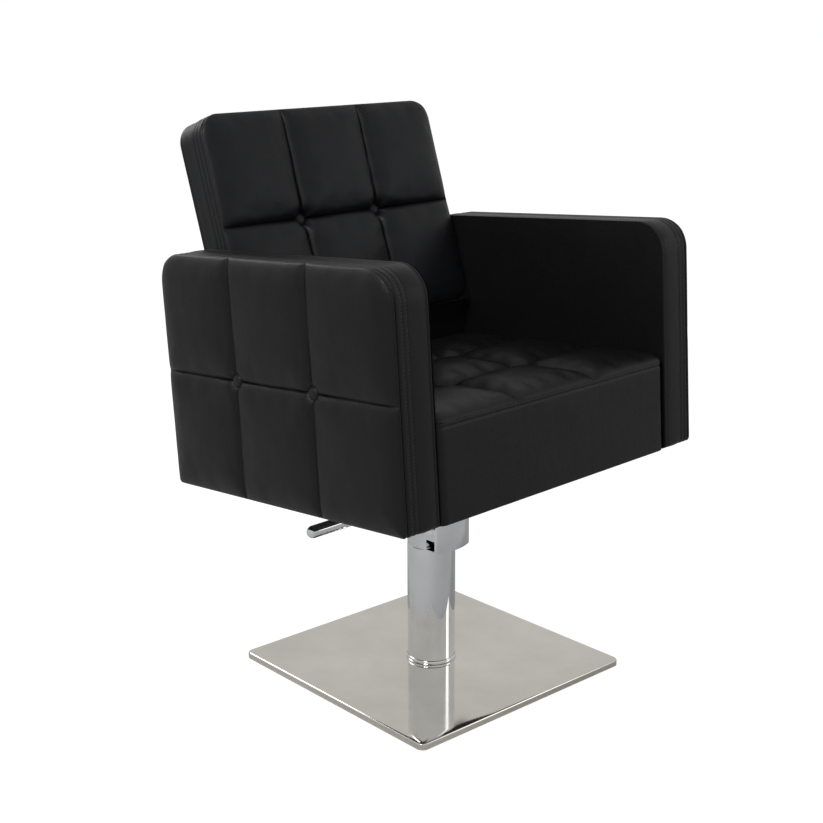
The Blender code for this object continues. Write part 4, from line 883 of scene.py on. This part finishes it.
def makeHead():
    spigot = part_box("pump_head")[0].z
    body = turnedPiece("pumpHead", [(head["spigotR"], spigot), (head["spigotR"], head["bottom"]),
                                    (head["radius"], head["bottom"]), (head["radius"], head["bodyTop"])], chrome, 96)
    front = [(head["housingHalf"] * s, -head["edge"] - head["bulge"] * (1 - s * s)) for s in [k / 12 - 1 for k in range(25)]]
    outline = front + [(head["housingHalf"], -0.004), (-head["housingHalf"], -0.004)]
    rings = [[(x, y, z) for x, y in outline] for z in (head["housingBottom"], head["blockTop"])]
    cutWith(body, newPiece("tool", *skin(rings), chrome), "UNION")
    lugOuter = lever["half"] + chair["gap"] + lever["lug"]
    middle = (head["right"] - head["left"]) / 2
    across = (head["right"] + head["left"]) / 2
    rings = [[(x + middle, y, z) for x, y, _ in cornerRing(across, lugOuter, head["corner"], 0, z, 8)]
             for z in (head["blockBottom"], head["blockTop"])]
    cutWith(body, newPiece("tool", *skin(rings), chrome), "UNION")
    outline = front + [(head["housingHalf"], -lugOuter - 0.002), (-head["housingHalf"], -lugOuter - 0.002)]
    rings = [[(x, y, z) for x, y in outline] for z in (head["blockBottom"], head["wallTop"])]
    cutWith(body, newPiece("tool", *skin(rings), chrome), "UNION")
    lugShape = [(lever["pinX"] + sign * lever["lug"], head["lugFoot"]) for sign in (-1, 1)]
    lugShape += [(lever["pinX"] + lever["lug"] * math.cos(a), lever["z"] + lever["lug"] * math.sin(a))
                 for a in [math.pi * k / 16 for k in range(17)]]
    for side in (-1, 1):
        near, far = side * (lever["half"] + chair["gap"]), side * lugOuter
        rings = [[(x, y, z) for x, z in lugShape] for y in (near, far)]
        cutWith(body, newPiece("tool", *skin(rings), chrome), "UNION")
    for radius, floor in ((head["ramBore"], spigot - 0.001), (head["bushBore"], spigot + 0.002),
                          (head["wiperBore"], head["wiperFloor"])):
        cutWith(body, rodTool(radius, floor, head["cutTop"], steps=64))
    cutWith(body, blockTool((-head["housingHalf"] - 0.002, -head["windowFar"], head["windowBottom"]),
                            (-head["housingHalf"] + head["windowDepth"], -head["windowNear"], head["windowTop"])))
    atPlunger = Matrix.Translation((head["plungerX"], 0, 0))
    cutWith(body, rodTool(head["plungerBore"], head["plungerFloor"], head["blockTop"], atPlunger, 24))
    cutWith(body, rodTool(head["pocketR"], head["pocketFloor"], head["cutTop"], atPlunger, 32))
    cutWith(body, rodTool(lever["pinBore"], -0.06, 0.06, alongPin(), 32))
    softEdges(body, 0.0007)
    settle(body, "base", "chrome", "pump_head")


def makeLever():
    right, left = lever["pinX"] + lever["lug"], -lever["left"]
    rings = [[(x + (right + left) / 2, y, z) for x, y, _ in cornerRing((right - left) / 2, lever["half"], 0.006, 0, z, 6)]
             for z in (lever["z"] - lever["thick"] / 2, lever["z"] + lever["thick"] / 2)]
    yoke = newPiece("leverYoke", *skin(rings), chrome)
    along = Matrix.Translation((0, 0, lever["z"])) @ Matrix.Rotation(math.radians(-90), 4, "Y")
    cutWith(yoke, rodTool(lever["bossR"], lever["bossStart"], lever["bossLeft"], along, 48), "UNION")
    cutWith(yoke, blockTool((-lever["slotX"], -lever["slot"], lever["slotLow"]),
                            (lever["slotX"], lever["slot"], lever["slotHigh"])))
    cutWith(yoke, rodTool(lever["pinBore"], -0.05, 0.05, alongPin(), 32))
    cutWith(yoke, rodTool(lever["rodBore"], lever["rodFoot"], lever["rodEnd"], along, 48))
    softEdges(yoke, 0.0008)
    settle(yoke, "lever", "chrome", "lever_yoke")
    start = lever["left"] + lever["root"]
    length = lever["tip"] - start
    dome = [(lever["rodR"] * math.cos(a), length - lever["rodR"] * (1 - math.sin(a)))
            for a in [math.radians(88) * k / 12 for k in range(13)]]
    rod = smoothed(turnedPiece("leverRod", [(lever["rodR"], 0)] + dome, chrome, 64), 60)
    settle(rod, "lever", "chrome", "lever_rod",
           matrix=Matrix.Translation((-start, 0, lever["z"])) @ Matrix.Rotation(math.radians(-90), 4, "Y"))


spring = {"x": head["plungerX"], "coil": 0.0066, "wire": 0.0009, "seat": 0.2505, "top": 0.2884, "turns": 6, "steps": 32,
          "sides": 12, "pressed": 0.57}


def makeSpring():   # on the real pump it shortens as the plunger goes down; here it is built at one length
    low, high = spring["seat"] + spring["wire"], spring["top"] - spring["wire"]
    count = spring["turns"] * spring["steps"]
    rings = []
    for k in range(count + 1):
        turn = math.tau * k / spring["steps"]
        rise = low + (high - low) * k / count
        ring = []
        for m in range(spring["sides"]):
            a = math.tau * m / spring["sides"]
            out = spring["coil"] + spring["wire"] * math.cos(a)
            ring.append((spring["x"] + out * math.cos(turn), out * math.sin(turn),
                         rise + spring["wire"] * math.sin(a)))
        rings.append(ring)
    coil = smoothed(newPiece("returnSpring", *skin(rings), turnedSteel), 60)
    settle(coil, "base", "inner_steel", "plunger_spring")
    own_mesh(coil)


makeHead()
makeLever()
makeSpring()
print("pump head and lever made")


# ---- floor, light and camera
def rayKind(tree, *names):
    path = tree.nodes.new("ShaderNodeLightPath")
    total = 0.0
    for name in names:
        total = maths(tree, "MAXIMUM", path.outputs[name], total)
    return total


def makeStudio():
    world = bpy.data.worlds.new("studio")
    scene.world = world
    world.use_nodes = True
    tree = world.node_tree
    sky = tree.nodes["Background"]
    sky.inputs["Color"].default_value = (1, 1, 1, 1)
    reflected = maths(tree, "MULTIPLY", rayKind(tree, "Is Glossy Ray", "Is Transmission Ray"), studio["reflected"])
    shown = maths(tree, "MAXIMUM", rayKind(tree, "Is Camera Ray"), reflected)
    wire(tree, maths(tree, "MAXIMUM", shown, studio["ambient"]), sky.inputs["Strength"])

    # white to the camera, with the chair's shadow left in its painted share
    made = bpy.data.materials.new("paleFloor")
    made.use_nodes = True
    tree = made.node_tree
    shader = tree.nodes["Principled BSDF"]
    shader.inputs["Roughness"].default_value = 0.9
    shader.inputs["Specular IOR Level"].default_value = 0.0
    seen = rayKind(tree, "Is Camera Ray")
    shade = maths(tree, "MULTIPLY_ADD", seen, studio["floorShown"] - studio["floor"], studio["floor"])
    colour = tree.nodes.new("ShaderNodeCombineColor")
    for key in ("Red", "Green", "Blue"):
        wire(tree, shade, colour.inputs[key])
    wire(tree, colour.outputs["Color"], shader.inputs["Base Color"])
    shader.inputs["Emission Color"].default_value = (1, 1, 1, 1)
    wire(tree, maths(tree, "MULTIPLY", seen, studio["floorGlow"]), shader.inputs["Emission Strength"])
    mesh = bpy.data.meshes.new("floor")
    mesh.from_pydata([(-6, -6, 0), (6, -6, 0), (6, 6, 0), (-6, 6, 0)], [], [(0, 1, 2, 3)])
    mesh.materials.append(made)
    floor = bpy.data.objects.new("floor", mesh)
    scene.collection.objects.link(floor)
    floor.location.z = -0.0005

    for name, (spot, width, depth, power, tint) in studio["lamps"].items():
        data = bpy.data.lights.new(name, "AREA")
        data.shape = "RECTANGLE"
        data.size, data.size_y = width, depth
        data.energy = power
        data.color = tint
        lamp = bpy.data.objects.new(name, data)
        lamp.location = spot
        lamp.rotation_mode = "QUATERNION"
        lamp.rotation_quaternion = (Vector((0, 0, 0.5)) - Vector(spot)).to_track_quat("-Z", "Y")
        scene.collection.objects.link(lamp)


studio = {"ambient": 0.42, "reflected": 0.62, "floor": 0.66, "floorShown": 0.34, "floorGlow": 0.89,
          "lamps": {"key": ((-2.3, -0.6, 2.6), 0.8, 0.8, 40, (1.0, 1.0, 1.0)),
                    "side": ((2.1, -2.6, 1.5), 0.9, 1.6, 7, (0.93, 0.96, 1.0)),
                    "rear": ((-0.4, 2.6, 2.2), 1.6, 0.9, 20, (1.0, 1.0, 1.0))}}


def makeCamera():
    view = {"place": (-1.63403652, -1.6050755, 1.07729724), "azimuth": -44.71, "elevation": 15.53, "roll": -0.23,
            "lens": 64.09}
    a, e = math.radians(view["azimuth"]), math.radians(view["elevation"])
    away = Vector((math.sin(a) * math.cos(e), -math.cos(a) * math.cos(e), math.sin(e)))
    data = bpy.data.cameras.new("camera")
    data.sensor_width = 36
    data.lens = view["lens"]
    camera = bpy.data.objects.new("camera", data)
    turn = (-away).to_track_quat("-Z", "Y").to_matrix().to_4x4() @ Matrix.Rotation(math.radians(view["roll"]), 4, "Z")
    camera.matrix_world = Matrix.Translation(view["place"]) @ turn
    scene.collection.objects.link(camera)
    scene.camera = camera


makeStudio()
makeCamera()
scene.view_settings.view_transform = "Standard"
print("studio made")
